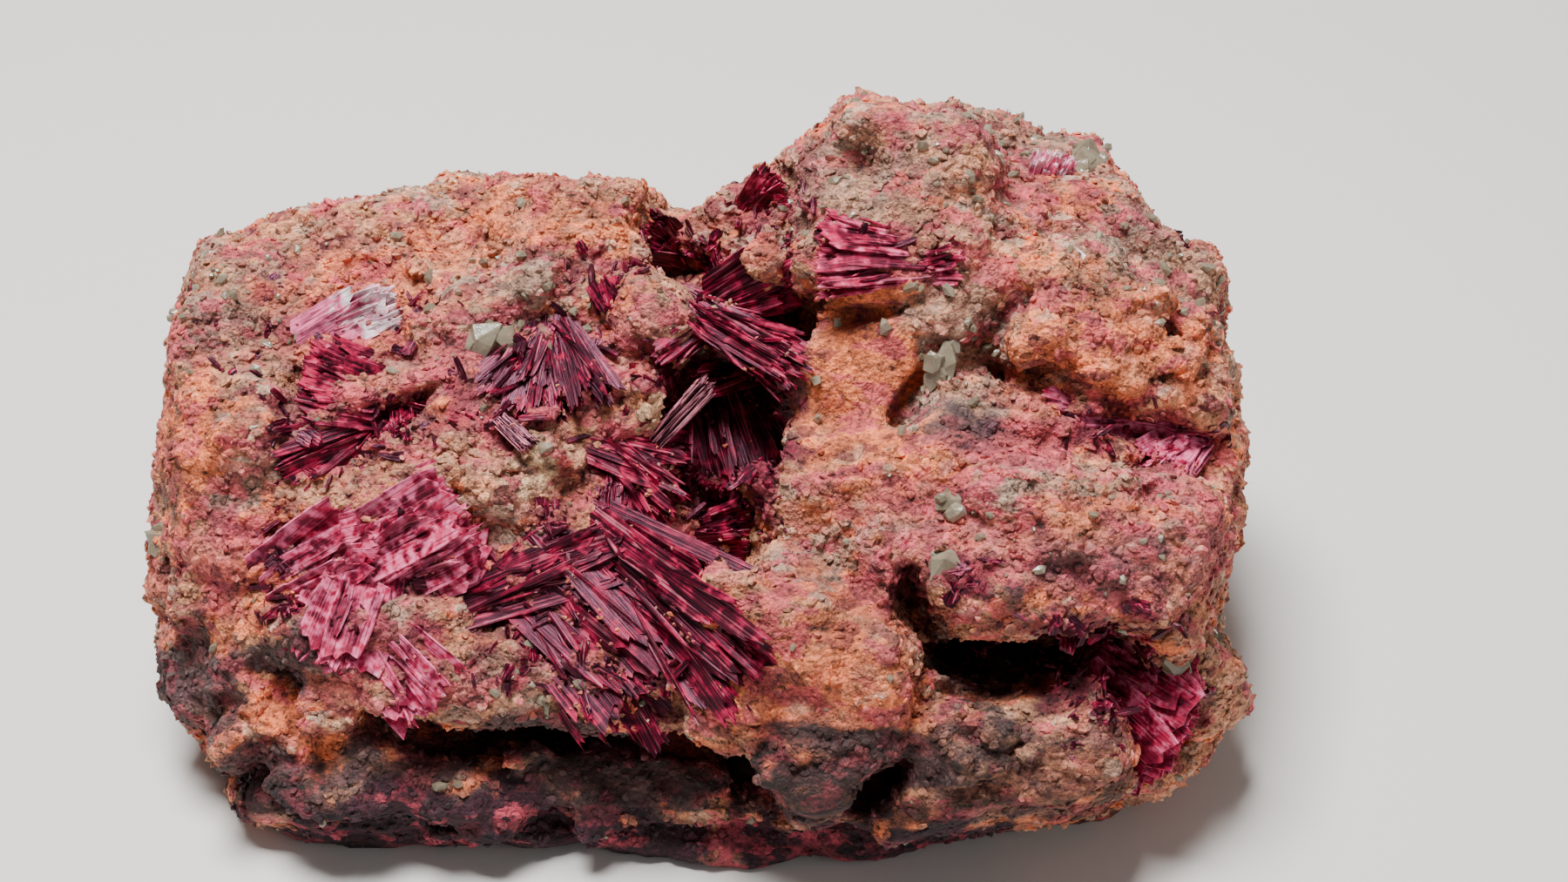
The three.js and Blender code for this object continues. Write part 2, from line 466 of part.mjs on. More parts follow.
// Where a line from the heart of the block leaves the matrix.
function reachAlong(direction) {
  const at = (t) => HEART.map((v, i) => v + t * direction.getComponent(i));
  let outer = NET_START;
  let distance = matrixDistance(at(outer));
  while (distance > NET_REACHED) {
    outer -= NET_STEP * distance;
    distance = matrixDistance(at(outer));
  }
  return at(outer);
}

function matrixSolid() {
  const net = withSharedVertices(new THREE.IcosahedronGeometry(1, SURFACE_DETAIL));
  const position = net.attributes.position;
  const stretch = new THREE.Vector3(...BLOCK_STRETCH);
  const front = new THREE.Vector3(0, -LEAN_COS, LEAN_SIN).multiplyScalar(FRONT_SHARE);
  const direction = new THREE.Vector3();
  for (let i = 0; i < position.count; i++) {
    direction.fromBufferAttribute(position, i).multiply(stretch).add(front).normalize();
    const [x, y, z] = reachAlong(direction);
    position.setXYZ(i, x, y, z < FLAT_SNAP ? 0 : z);
  }
  return DEEP_HOLLOWS.reduce((solid, name) => solid.subtract(hollowSolid(HOLLOWS[name])), toSolid(net));
}

function hollowSolid([, centre, size, turns]) {
  const hollow = new THREE.IcosahedronGeometry(1, 1);
  hollow.scale(...size).applyMatrix4(turnMatrix(turns).setPosition(...centre));
  return solidInBlock(hollow);
}

// One blade in the face's frame, lying in the plane across normal, grown by grow all round.
function bladeGeometry(root, along, normal, length, width, thick, grow) {
  const outline = BLADE_OUTLINE.map(([u, v]) => (
    new THREE.Vector2(u * (length + 2 * grow) - grow, v * (width + 2 * grow))
  ));
  const depth = thick + 2 * grow;
  const geometry = new THREE.ExtrudeGeometry(new THREE.Shape(outline), { depth, bevelEnabled: false });
  geometry.translate(0, 0, -depth / 2);
  const side = new THREE.Vector3().crossVectors(normal, along);
  return geometry.applyMatrix4(new THREE.Matrix4().makeBasis(along, side, normal).setPosition(root));
}

// The blades of one spray, each turned a little on its own axis.
function sprayGeometries({ root, tip, blade, count, open }, seed, grow) {
  const [width, thick] = blade;
  const [band, fan, roll] = open;
  const start = new THREE.Vector3(...root);
  const middle = new THREE.Vector3(...tip).sub(start);
  const length = middle.length();
  middle.normalize();
  const normal = new THREE.Vector3(0, 0, 1).addScaledVector(middle, -middle.z).normalize();
  normal.applyAxisAngle(middle, radians(roll));
  const side = new THREE.Vector3().crossVectors(normal, middle);
  return Array.from({ length: count }, (_, i) => {
    const place = count > 1 ? i / (count - 1) - 0.5 : 0;
    const along = middle.clone().applyAxisAngle(normal, radians(place * fan));
    const twist = radians(BLADE_TWIST * latticeValue(i, 1, 0, seed));
    const facing = normal.clone().applyAxisAngle(along, twist);
    const foot = start.clone().addScaledVector(side, place * band);
    const share = 1 - SHORTEST_BLADE * Math.abs(latticeValue(i, 2, 0, seed));
    return bladeGeometry(foot, along, facing, length * share, width, thick, grow);
  });
}

function floorGeometry({ centre, size }, grow) {
  const floor = new THREE.IcosahedronGeometry(1, 0);
  floor.scale(...size.map((half) => half + grow));
  return floor.translate(...centre);
}

// A six-sided prism with a pyramid on each end.
function quartzGeometry({ centre, radius, length, axis }, grow) {
  const girth = radius + grow;
  const half = length / 2 + grow;
  const profile = [[0, -half], [girth, -0.5 * half], [girth, 0.35 * half], [0, half]];
  const prism = new THREE.LatheGeometry(profile.map(([r, h]) => new THREE.Vector2(r, h)), 6);
  const turn = new THREE.Quaternion().setFromUnitVectors(
    new THREE.Vector3(0, 1, 0),
    new THREE.Vector3(...axis).normalize(),
  );
  return prism.applyQuaternion(turn).translate(...centre);
}

// The smallest plain pocket that a group of blades fits in.
function pocketGeometry(geometries) {
  const corners = geometries.flatMap((geometry) => {
    const { position } = withSharedVertices(geometry).attributes;
    return Array.from({ length: position.count }, (_, i) => (
      new THREE.Vector3().fromBufferAttribute(position, i)
    ));
  });
  return new ConvexGeometry(corners);
}

// ---------------------------------------------------------------------------------------------
// Assembly
// ---------------------------------------------------------------------------------------------

const finishes = {
  matrix: { color: '#b97a68', roughness: 0.95, metalness: 0 },
  erythrite: { color: '#8c1240', roughness: 0.35, metalness: 0 },
  quartz: { color: '#a8a294', roughness: 0.3, metalness: 0 },
};

// Every crystal node: its name, its finish and, for a growth all round, its groups of geometries.
// A group shares one pocket in the matrix.
function crystalNodes() {
  const sprayGroups = (sprays) => (grow) => (
    sprays.map((spray, i) => sprayGeometries(spray, 100 + 10 * i, grow))
  );
  const nodes = Object.entries(ERYTHRITE).map(([name, sprays]) => (
    { name, finish: finishes.erythrite, groups: sprayGroups(sprays) }
  ));
  for (const [name, { floor, sprays }] of Object.entries(CRUSTS)) {
    const groups = (grow) => [...sprayGroups(sprays)(grow), [floorGeometry(floor, grow)]];
    nodes.push({ name, finish: finishes.erythrite, groups });
  }
  for (const [name, crystal] of Object.entries(QUARTZ)) {
    nodes.push({ name, finish: finishes.quartz, groups: (grow) => [[quartzGeometry(crystal, grow)]] });
  }
  return nodes;
}

function solidInBlock(geometry) {
  return toSolid(geometry.applyMatrix4(FACE_TO_BLOCK));
}

function addMesh(group, name, solid, finish) {
  const mesh = new THREE.Mesh(toGeometry(solid), new THREE.MeshStandardMaterial(finish));
  mesh.name = name;
  mesh.position.set(-ORIGIN[0], -ORIGIN[1], 0);
  group.add(mesh);
}

// Each crystal keeps clear of the crystals before it, and the matrix keeps clear of them all.
function specimen() {
  const group = new THREE.Group();
  let matrix = matrixSolid();
  let grownBefore = null;
  for (const { name, finish, groups } of crystalNodes()) {
    const crystal = joined(groups(0).flat().map(solidInBlock));
    const clear = grownBefore ? mainPiece(crystal.subtract(grownBefore)) : crystal;
    addMesh(group, name, clear, finish);
    const grown = groups(SOCKET_GAP);
    for (const pocket of grown.map(pocketGeometry)) matrix = matrix.subtract(solidInBlock(pocket));
    const around = joined(grown.flat().map(solidInBlock));
    grownBefore = grownBefore ? grownBefore.add(around) : around;
  }
  addMesh(group, 'matrix', mainPiece(matrix), finishes.matrix);
  return group;
}

export default specimen();
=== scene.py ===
"""Looks of an erythrite specimen: granular matrix, crimson blades and pale quartz.

The block is shaped by a distance field, meshed finely and relieved grain by grain. Crumbs, quartz
grains, druse and sprays of laths are grown on it by Geometry Nodes. Tables are in millimetres,
objects in metres.
"""

import json
import math
from concurrent.futures import ThreadPoolExecutor

import bmesh
import bpy
import numpy as np
import openvdb
from mathutils import Matrix, Vector

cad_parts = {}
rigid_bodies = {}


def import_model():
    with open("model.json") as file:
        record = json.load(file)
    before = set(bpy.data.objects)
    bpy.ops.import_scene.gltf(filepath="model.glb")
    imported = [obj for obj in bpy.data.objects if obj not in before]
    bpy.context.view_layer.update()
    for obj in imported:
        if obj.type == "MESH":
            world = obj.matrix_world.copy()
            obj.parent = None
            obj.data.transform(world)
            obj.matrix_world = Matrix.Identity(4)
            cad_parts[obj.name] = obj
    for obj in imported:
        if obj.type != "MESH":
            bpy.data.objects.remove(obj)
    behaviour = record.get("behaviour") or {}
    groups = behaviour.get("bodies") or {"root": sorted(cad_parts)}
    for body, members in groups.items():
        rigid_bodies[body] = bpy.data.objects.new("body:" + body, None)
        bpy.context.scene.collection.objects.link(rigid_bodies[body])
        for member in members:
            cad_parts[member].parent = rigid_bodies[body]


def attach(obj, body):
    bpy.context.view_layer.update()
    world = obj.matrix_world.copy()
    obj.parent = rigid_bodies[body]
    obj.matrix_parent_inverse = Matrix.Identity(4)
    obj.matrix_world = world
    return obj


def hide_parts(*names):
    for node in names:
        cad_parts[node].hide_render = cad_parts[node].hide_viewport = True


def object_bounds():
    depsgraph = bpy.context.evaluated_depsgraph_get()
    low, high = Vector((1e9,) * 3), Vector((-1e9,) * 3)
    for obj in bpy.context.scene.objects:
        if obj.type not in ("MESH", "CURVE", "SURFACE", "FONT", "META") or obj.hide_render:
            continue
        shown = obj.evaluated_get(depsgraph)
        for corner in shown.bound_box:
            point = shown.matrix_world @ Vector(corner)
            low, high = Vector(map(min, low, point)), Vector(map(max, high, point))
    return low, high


bl_info = {
    "name": "Erythrite specimen",
    "version": (1, 0, 0),
    "blender": (4, 5, 0),
    "location": "View3D > Sidebar > Specimen",
    "description": "Builds a mineral specimen of erythrite and quartz on granular matrix",
    "category": "Add Mesh",
}

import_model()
CAD_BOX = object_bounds()

MM = 0.001
ORIGIN = np.array([-0.22, 6.42, 0.0])  # the part's origin in the block's own frame

# ---- Frames: x, y, z of the block, and a across, b up and w out of its broken face ----

FACE_TILT = math.radians(38)
FACE_HEIGHT = 23.3
COS, SIN = math.cos(FACE_TILT), math.sin(FACE_TILT)
FACE_AXES = np.array([[1, 0, 0], [0, SIN, COS], [0, -COS, SIN]])  # rows: a, b and w in the block


def to_face(points):
    return (points - (0, 0, FACE_HEIGHT)) @ FACE_AXES.T


def to_scene(points):
    """Places on the face as points of the scene, in metres."""
    return (np.asarray(points, float) @ FACE_AXES + (0, 0, FACE_HEIGHT) - ORIGIN) * MM


# ---- Forms of the matrix, in millimetres ----

# Masses in the block's frame: kind, centre, half sizes, edge radius of a box.
MASSES = (
    ("box", (-18.5, 10.5, 10.5), (18.5, 17, 12.5), 5),
    ("egg", (-18, 15, 17), (20, 11, 17)),
    ("box", (17, 12, 11.5), (19, 16, 13.5), 6),
    ("egg", (19, 15, 20), (18, 12, 19)),
    ("egg", (0, 12, 15), (20, 14, 16)),
    ("egg", (-28, 18, 11), (9, 8, 10)),
    ("egg", (-9, 20.5, 9), (12, 6.5, 9)),
    ("egg", (11, 19.5, 13), (11, 7.5, 12)),
    ("egg", (27, 16.5, 11), (9, 9, 11)),
    ("egg", (-20, 18.5, 22), (12, 7, 8)),
    ("egg", (3, 19, 24), (9, 7, 7)),
    ("egg", (-21, 16.5, 18), (18, 10, 10)),
    ("egg", (14, 16, 20), (20, 10.5, 11)),
)

# Lumps and ledges in the face's frame: kind, top, half sizes, degrees turned about w, b and a,
# edge radius of a box.
LUMPS = {
    "left_shoulder": ("box", (-20.5, 11.5, -2), (18.5, 11, 9), (5, 0, -24), 4),
    "left_front": ("box", (-21, -4, 2.6), (17, 12, 9), (0, 0, -2), 4),
    "left_side": ("egg", (-33.5, -2, 1), (8.5, 17, 12)),
    "left_foot": ("egg", (-34, -13, 1.5), (6.5, 6, 8)),
    "left_hump": ("egg", (-31, 3, 3), (5, 6, 6)),
    "left_swell": ("egg", (-14, 12, 0.5), (9, 5, 6), (10, 0, 0)),
    "left_top_back": ("egg", (-18, 16, -6), (17, 7, 8), (5, 0, -20)),
    "lip": ("box", (-11, -14.3, 4.8), (12, 3, 7), (-7, 0, 6), 2),
    "lip_left": ("box", (-22.5, -12.5, 4.6), (7, 4.2, 7), (6, 0, 6), 2),
    "foot_ledge": ("box", (-30.5, -18, 1.6), (6, 3.4, 8), (-14, 0, 0), 2),
    "upper_band": ("box", (-15, -21.3, 1.8), (17, 2.2, 8), (-4, 0, 0), 1.5),
    "lower_band": ("box", (-14, -25, -0.6), (20, 2.8, 8), (-2, 0, 0), 1.5),
    "middle_band": ("box", (8, -25.6, 0.4), (15, 2.8, 8), (1, 0, 0), 1.5),
    "middle": ("box", (-5, 4, -1), (9, 14, 9), (0, 0, -8), 3),
    "tan_lump": ("egg", (-2.3, 12.8, 2.2), (4.6, 3.6, 5), (-15, 0, 0)),
    "crumb_lump": ("egg", (-11.4, 2, 4.4), (3.6, 2.6, 5)),
    "crumb_heap": ("egg", (-3.8, 5.7, 2.6), (2.6, 1.6, 4)),
    "tan_band": ("egg", (-18, -0.8, 4.9), (12, 3, 6), (4, 0, 0)),
    "middle_low": ("box", (-8, -9, 2.2), (10, 7, 8), (0, 0, 0), 3),
    "notch_ridge": ("egg", (-1.5, 18.6, -6), (6, 3.2, 8)),
    "notch_right": ("egg", (5.4, 19.5, -2.5), (5, 4, 8), (10, 0, 0)),
    "notch_tan": ("egg", (5, 16.4, -2), (4, 3, 6)),
    "right_slab": ("box", (23, 2, 1.5), (15, 20, 9), (0, 0, -10), 4),
    "crown": ("box", (14.4, 19.4, 4.6), (8, 7.4, 8), (-12, -8, -6), 4),
    "crown_peak": ("egg", (12.2, 25.5, -4.5), (4.5, 4.5, 7)),
    "ridge_a": ("egg", (20.5, 23.8, -5), (7.5, 6, 9)),
    "ridge_b": ("egg", (26.5, 20.5, -4.5), (7, 6.5, 9)),
    "ridge_c": ("egg", (31, 15.5, -4), (7, 7, 9)),
    "ridge_d": ("egg", (35.2, 12.5, -5), (5, 7, 8)),
    "crown_slope": ("egg", (21, 16.5, 2.5), (9, 7, 9), (-25, 0, 0)),
    "quartz_valley": ("egg", (18, 9.5, 3.2), (6, 8, 9)),
    "valley_head": ("egg", (20.4, 11.8, 5), (6, 3.4, 6)),
    "smooth_facet": ("box", (11.7, 8, 3.8), (4.3, 6.3, 6), (0, -10, 6), 1.2),
    "right_lump": ("box", (29, 10, 5), (8.6, 5, 8), (-15, 10, -8), 3),
    "pink_shoulder": ("egg", (23.5, 3, 6.2), (9.5, 4.2, 8), (-8, 0, 0)),
    "right_edge_a": ("egg", (36.5, 4.5, -1), (4.8, 8, 9)),
    "right_edge_b": ("egg", (36, -2, 0.5), (4.8, 7, 9)),
    "long_lump": ("box", (23.8, -5, 10.4), (13, 6.4, 9), (-11, 6, -4), 5),
    "long_lump_end": ("egg", (10.3, -0.8, 8.2), (7, 5.6, 8), (-8, 0, 0)),
    "nose": ("box", (8, -13, 10.6), (8.6, 6.8, 9), (-14, -4, 4), 4),
    "nose_top": ("egg", (8, -8.5, 8.4), (6.5, 5, 8)),
    "nose_foot": ("egg", (12, -18.3, 7.2), (7.5, 4.4, 8), (10, 0, 0)),
    "low_lump": ("box", (22.2, -19.3, 7), (9, 4.8, 8), (12, -4, 14), 2),
    "low_base": ("egg", (22, -23, 3.5), (10, 3.6, 8), (4, 0, 0)),
    "right_foot": ("egg", (35, -14.5, 0), (5.4, 6, 8)),
    "right_middle": ("egg", (32, -9.5, 1.5), (6.5, 4.5, 8)),
    "right_base": ("egg", (31, -21, 0.5), (6, 4, 8), (10, 0, 0)),
}

# Hollows, clefts and undercuts in the same way, but with their centre for a top.
HOLLOWS = {
    "vug_top": ("egg", (6, 11.2, -2), (3.2, 4.2, 8), (10, 0, 0)),
    "vug_middle": ("egg", (2.6, 4.6, 0.5), (5.4, 5.2, 8)),
    "vug_foot": ("egg", (6, 1.6, -1), (2.2, 3.6, 8)),
    "upper_hollow": ("egg", (-0.6, 17, -4), (3.4, 2, 4.5), (-10, 0, 0)),
    "cave": ("egg", (22.8, -12.6, 2.5), (7.6, 2.7, 9.5), (-5, 0, 0)),
    "cleft": ("egg", (16.3, -8.8, 8), (1.6, 4, 7), (20, 0, 0)),
    "undercut": ("box", (-12.5, -18.4, 4), (12.5, 1.2, 7), (-5, 0, 0), 1),
    "right_crevice": ("egg", (31, 4, 3), (6.5, 1.2, 5), (-10, 0, 0)),
    "left_crevice": ("egg", (-23.4, 4.4, 3), (7, 1.7, 4), (28, 0, 0)),
    "middle_crevice": ("egg", (1.6, -1.2, 3), (3.6, 2.2, 7), (-25, 0, 0)),
    "low_crevice": ("egg", (3.2, -5.8, 4), (2.6, 1.6, 6), (30, 0, 0)),
    "pit": ("egg", (-14, 0.6, 5), (1.5, 0.8, 3), (10, 0, 0)),
    "plate_bay": ("egg", (31.4, -15.4, 3), (5.4, 2.4, 6), (-32, 0, 0)),
    "nose_undercut": ("egg", (13.8, -20.6, 6), (3.2, 1.9, 5.5), (35, 0, 0)),
    "nose_side": ("egg", (-0.8, -11, 7), (1, 6, 4), (-8, 0, 0)),
    "crown_foot": ("egg", (11, 12.4, 5.4), (4.6, 1, 3.4), (4, 0, 0)),
    "crown_side": ("egg", (6.4, 18.8, 1.5), (0.9, 4.6, 5), (-4, 0, 0)),
    "facet_side": ("egg", (16.2, 8.4, 5.2), (0.8, 3, 1), (-8, 0, 0)),
    "right_corner": ("egg", (43.7, -23.6, -12), (7.4, 6.4, 34)),
}

# Outline seen square to the broken face, and how its walls run in depth.
OUTLINE_DEPTH = -6
OUTLINE_ROUND = 0.2
OUTLINE_APEX = (6.33, 3.07, 190)
OUTLINE = np.array([
    (-41.5, -4.5), (-41.5, -9.5), (-40.5, -16), (-37.5, -19.5), (-36.5, -22), (-34, -25),
    (-30, -26), (-20, -27), (-6.5, -27.5), (3.5, -28.5), (10, -28.5), (19.5, -26.5),
    (28.5, -25), (34.5, -23), (41, -17), (40.5, -14), (38, -11.5), (40.5, -2.5), (41, 2),
    (40.5, 6.5), (38.5, 10.5), (39, 14.5), (38, 17), (34, 18.5), (30, 25), (26.5, 27),
    (24.5, 28.5), (21, 28.5), (17, 27.5), (13, 29), (11, 28.5), (8, 25), (5, 23.5), (0, 21),
    (-6.5, 22), (-12, 22), (-18, 22.5), (-23.5, 21), (-31, 20), (-37, 17), (-39, 11),
    (-39.5, 5.5), (-40.5, -0.5),
])

CORE_BLEND, LUMP_BLEND, HOLE_BLEND, WALL_BLEND, FLOOR_BLEND = 2, 1.2, 1, 0.8, 0.3
BENDS = ((2.4, 9, 11), (0.9, 3.6, 21))  # height, grain and seed of each unevenness
CRAGS = ((0.7, 4.2, 1), (0.45, 2.1, 2))
WALL_WANDER = (2, 8, 31)
WALL_INSET = (0.011, 0.016)  # in front of the outline and behind it
WALL_CRAG = 0.5
BEND_ON_FORMS, BEND_ON_HOLLOWS = 0.8, 0.5
FOOT_HOLLOWS, FOOT_FLAT, FOOT_LIMIT = (1.6, 7, 41), 0.5, 1.2
FAR = 75.0  # further than any point of the grid lies from the block


# ---- Noise and distance ----

def lattice(cells, seed):
    """A fixed random number from -1 to 1 for each lattice cell."""
    i, j, k = (cells[..., n].astype(np.int64) for n in range(3))
    low = 0xFFFFFFFF
    h = (i * 73856093 ^ j * 19349663 ^ k * 83492791 ^ seed * 668265263) & low
    h = ((h ^ h >> 15) * 2246822519) & low
    h = ((h ^ h >> 13) * 3266489917) & low
    return (h ^ h >> 16) / 4294967295.0 * 2 - 1


def noise(points, size, seed):
    scaled = points / size
    cell = np.floor(scaled)
    part = scaled - cell
    ease = part * part * (3 - 2 * part)
    total = 0
    for corner in np.ndindex(2, 2, 2):
        weight = np.prod(np.where(corner, ease, 1 - ease), axis=-1)
        total = total + weight * lattice(cell + corner, seed)
    return total


def unevenness(layer, points, shift=0):
    height, size, seed = layer
    return height * noise(points, size, seed + shift)


def grains(points, size, seed):
    """Distance to the nearest of scattered seeds, as a share of size, and that seed's number."""
    cell = np.floor(points / size)
    nearest = np.full(len(points), 9.0)
    number = np.zeros(len(points))
    for corner in np.ndindex(3, 3, 3):
        at = cell + np.array(corner) - 1
        jitter = np.stack([lattice(at, seed + n) for n in range(3)], -1) * 0.45 + 0.5
        distance = np.linalg.norm(points / size - at - jitter, axis=-1)
        closer = distance < nearest
        nearest = np.where(closer, distance, nearest)
        number = np.where(closer, jitter[..., 0], number)
    return nearest, number


def smooth_min(a, b, radius):
    share = np.clip(0.5 + 0.5 * (b - a) / radius, 0, 1)
    return b + (a - b) * share - radius * share * (1 - share)


def smooth_max(a, b, radius):
    return -smooth_min(-a, -b, radius)


def turned(turns):
    about_w, about_b, about_a = (math.radians(t) for t in turns)
    turn = Matrix.Rotation(about_w, 3, "Z") @ Matrix.Rotation(about_b, 3, "Y")
    return np.array(turn @ Matrix.Rotation(about_a, 3, "X"))


def form_distance(points, kind, centre, size, turns=(0, 0, 0), edge=0):
    local = (points - centre) @ turned(turns)
    size = np.array(size, float)
    if kind == "egg":
        scaled = local / size
        reach = np.linalg.norm(scaled, axis=-1)
        slope = np.linalg.norm(scaled / size, axis=-1)
        return reach * (reach - 1) / np.maximum(slope, 1e-6)
    past = np.abs(local) - (size - edge)
    return np.linalg.norm(np.maximum(past, 0), axis=-1) + np.minimum(past.max(-1), 0) - edge


def outline_distance(a, b):
    nearest = np.full(a.shape, 1e9)
    inside = np.zeros(a.shape, bool)
    for (a1, b1), (a0, b0) in zip(OUTLINE, np.roll(OUTLINE, 1, axis=0)):
        ea, eb = a0 - a1, b0 - b1
        share = np.clip(((a - a1) * ea + (b - b1) * eb) / (ea * ea + eb * eb), 0, 1)
        nearest = np.minimum(nearest, np.hypot(a - a1 - ea * share, b - b1 - eb * share))
        if eb:
            inside ^= ((b1 > b) != (b0 > b)) & (a < a1 + (b - b1) * ea / eb)
    return np.where(inside, -nearest, nearest) - OUTLINE_ROUND


def wall_distance(points, roughness):
    face = to_face(points)
    apex_a, apex_b, apex_w = OUTLINE_APEX
    spread = (apex_w - face[:, 2]) / (apex_w - OUTLINE_DEPTH)
    wall = outline_distance(
        apex_a + (face[:, 0] - apex_a) / spread,
        apex_b + (face[:, 1] - apex_b) / spread,
    )
    depth = face[:, 2] - OUTLINE_DEPTH + unevenness(WALL_WANDER, points)
    inset = np.where(depth > 0, *WALL_INSET) * depth * depth
    return wall + inset - WALL_CRAG * roughness


def matrix_distance(points):
    """Signed distance to the matrix, less than 0 inside it, of points of the block in mm."""
    bend = np.stack([sum(unevenness(b, points, n) for b in BENDS) for n in range(3)], -1)
    bent = points + BEND_ON_FORMS * bend
    on_face = to_face(bent)
    in_hollow = to_face(points + BEND_ON_HOLLOWS * bend)
    roughness = sum(unevenness(crag, points) for crag in CRAGS)
    distance = np.full(len(points), FAR)
    for kind, centre, size, *edge in MASSES:
        mass = form_distance(bent, kind, centre, size, (0, 0, 0), *edge)
        distance = smooth_min(distance, mass, CORE_BLEND)
    for kind, (a, b, w), size, *rest in LUMPS.values():
        lump = form_distance(on_face, kind, (a, b, w - size[2]), size, *rest)
        distance = smooth_min(distance, lump, LUMP_BLEND)
    distance = distance - roughness
    for form in HOLLOWS.values():
        distance = smooth_max(distance, -form_distance(in_hollow, *form), HOLE_BLEND)
    distance = smooth_max(distance, wall_distance(points, roughness), WALL_BLEND)
    foot = np.clip(unevenness(FOOT_HOLLOWS, points * (1, 1, 0)) - FOOT_FLAT, 0, FOOT_LIMIT)
    return smooth_max(distance, foot - points[:, 2], FLOOR_BLEND)


# ---- Stains ----

# Stains of the broken face: centre a and b, half widths, strength.
STAINS = {
    "tan": (
        (-2.3, 12.8, 3.4, 3, 0.8), (-15.5, 1.3, 10, 2.2, 0.7), (22, -19.5, 10, 4.5, 0.8),
        (30, 12, 8, 4, 0.5), (-11, -11, 8, 4, 0.5), (8, -18, 7, 3, 0.4), (38, -14, 4, 5, 0.8),
        (2, -16.6, 4, 3, 0.8),
    ),
    "grey": (
        (-34, 13, 7, 5, 0.7), (-15, 12.5, 8, 5, 0.45), (10, 22, 4, 5, 0.9), (16, 20, 6, 5, 0.6),
        (33, 16, 7, 5, 0.9), (18, 9, 4, 6, 0.9), (24, 25, 6, 4, 0.7), (21, -1.5, 3.6, 2.2, 0.8),
        (29, -3.5, 6, 3.6, 0.85), (-16, -21, 10, 2.2, 0.6), (-10, -14, 8, 2.8, 0.75),
        (20, -20, 9, 4, 0.4),
    ),
    "orange": (
        (11.7, 8, 4.4, 6, 1.3), (29, 10, 8, 5, 0.7), (-37, 3, 3.4, 5, 0.9), (-15, 19, 9, 3, 0.6),
        (14, -23.4, 4, 1.4, 1), (24, -20, 6, 2.4, 0.5), (-17, -21.4, 7, 1.1, 0.65),
        (27, -1.5, 5, 2, 0.6), (12, -1, 4, 3, 0.6), (-30.6, -16.6, 3.6, 1.8, 1),
        (-26.6, -19, 2.4, 2, 0.9), (-34, -8, 4, 3, 0.6), (8, -14, 9, 8, 0.65), (-24, 14, 8, 4, 0.6),
    ),
    "pink": (
        (-13, 7, 8, 6, 0.7), (-22, 8, 7, 4, 0.55), (-5, 10, 4, 4, 0.5), (-20, -4, 7, 3, 0.5),
        (16, -3, 6, 5, 0.6), (33, -4, 6, 5, 0.6), (24, -4, 8, 3, 0.55), (24, 3.8, 5, 2.2, 0.9),
        (-35, -6, 4.5, 3.6, 0.7), (-24, 11, 9, 5, 0.4), (5, -21, 5, 3, 0.5), (-23, -12, 5, 4, 0.7),
        (24, 22, 4, 3, 0.5),
    ),
    # The dark patch at a 18.6, b 5.4 is painted shade: a hollow's shadow put on an open slope.
    "dark": (
        (-36.5, -14.5, 5.2, 4.4, 1), (-29.5, -12.6, 6, 1.9, 1), (-9, -18.6, 9, 1.8, 1),
        (-26, -20.6, 7, 1.6, 0.9), (22, -13, 6, 2.5, 0.8), (14.5, -19.6, 5, 2.4, 1),
        (19.5, -16.6, 2.6, 2, 0.8), (21, -7, 3.6, 1.3, 0.7), (29, -4.5, 7, 3.4, 0.5),
        (12, 22, 5, 3, 0.25), (18.6, 5.4, 3, 1.8, 0.8), (-38.5, 1, 1.6, 4, 0.5), (3, 6, 5, 7, 0.9),
        (-33, -21.5, 3.5, 1.8, 0.8), (-10, -22.4, 22, 0.8, 0.9),
    ),
    "crimson": (
        (0, 4, 7, 7, 0.8), (-7, -9, 9, 6, 0.75), (-25, -7, 7, 4.5, 0.7), (5, 21, 4, 3, 0.6),
        (-1, 17, 5, 3, 0.6), (31, 4, 7, 1.8, 0.8), (-24, 4, 9, 3, 0.65), (-25, 12, 8, 2, 0.4),
        (-34, 10, 3, 2, 0.35), (-18, 14, 3, 1.5, 0.5), (-30, 15, 3, 1.2, 0.4),
        (-9, 16.5, 3, 1.2, 0.6), (36, 20, 2, 3, 0.4), (12, 16.4, 5, 2, 0.8), (-12, 8, 4, 6, 0.5),
        (30, -15, 6, 4, 0.6), (27, -9, 8, 1.8, 0.6), (18.6, -6.4, 3, 2, 0.7),
    ),
    "yellow": ((-3.8, 5.7, 2.6, 1.6, 0.9), (-11.4, 1.6, 2.4, 1.8, 0.9)),
    # The broad umber patch on the low lump, at a 22, b -21, is brown streaks and partly painted
    # shade on the lower faces.
    "umber": (
        (22, -21, 11, 5, 0.6), (-30, -22.4, 5, 1.5, 0.9), (-16, -19.2, 14, 1, 0.9),
        (-4, -21, 9, 1.8, 0.95), (10, -20.6, 6, 3, 0.85),
    ),
    "plum": ((-14, -25.4, 24, 3.2, 1), (12, -26.5, 14, 3, 1), (-22, -12, 5, 4, 0.3)),
}
# Away from the face the stains lie where noise rises over a threshold: size and threshold.
STAINS_AROUND = {
    "tan": (9, 0.1), "grey": (7, 0.15), "orange": (8, 0.2), "pink": (7, 0.25), "dark": (9, 0.45),
    "crimson": (5, 0.5), "yellow": (4, 0.9), "umber": (10, 0.35), "plum": (8, 0.55),
}
AROUND_SEED, AROUND_GAIN, AROUND_MOST = 61, 2, 0.7
STAIN_WANDER, STAIN_FRAY = (1.8, 4.5, 71), (0.45, 1.3, 75)  # height, size and seed
STAIN_EDGE, STAIN_SOFTNESS = 1.15, 0.4  # where a stain ends, as a share of its half width
FACE_FADE = (-16, 6)  # depth at which the face's own stains end, and the length they end over
FLAKE_CLUSTERS = (2.6, 79)  # size and seed of the patches that flakes of erythrite grow in
DUST_PATCHES = (1.2, 77)  # of those where crumbs lie on the crystals
PINK_DUST = (3, 78)  # of those where these crumbs are pink
STAINED_DUST = 0.35  # how strongly the crystals stain the crumbs on them
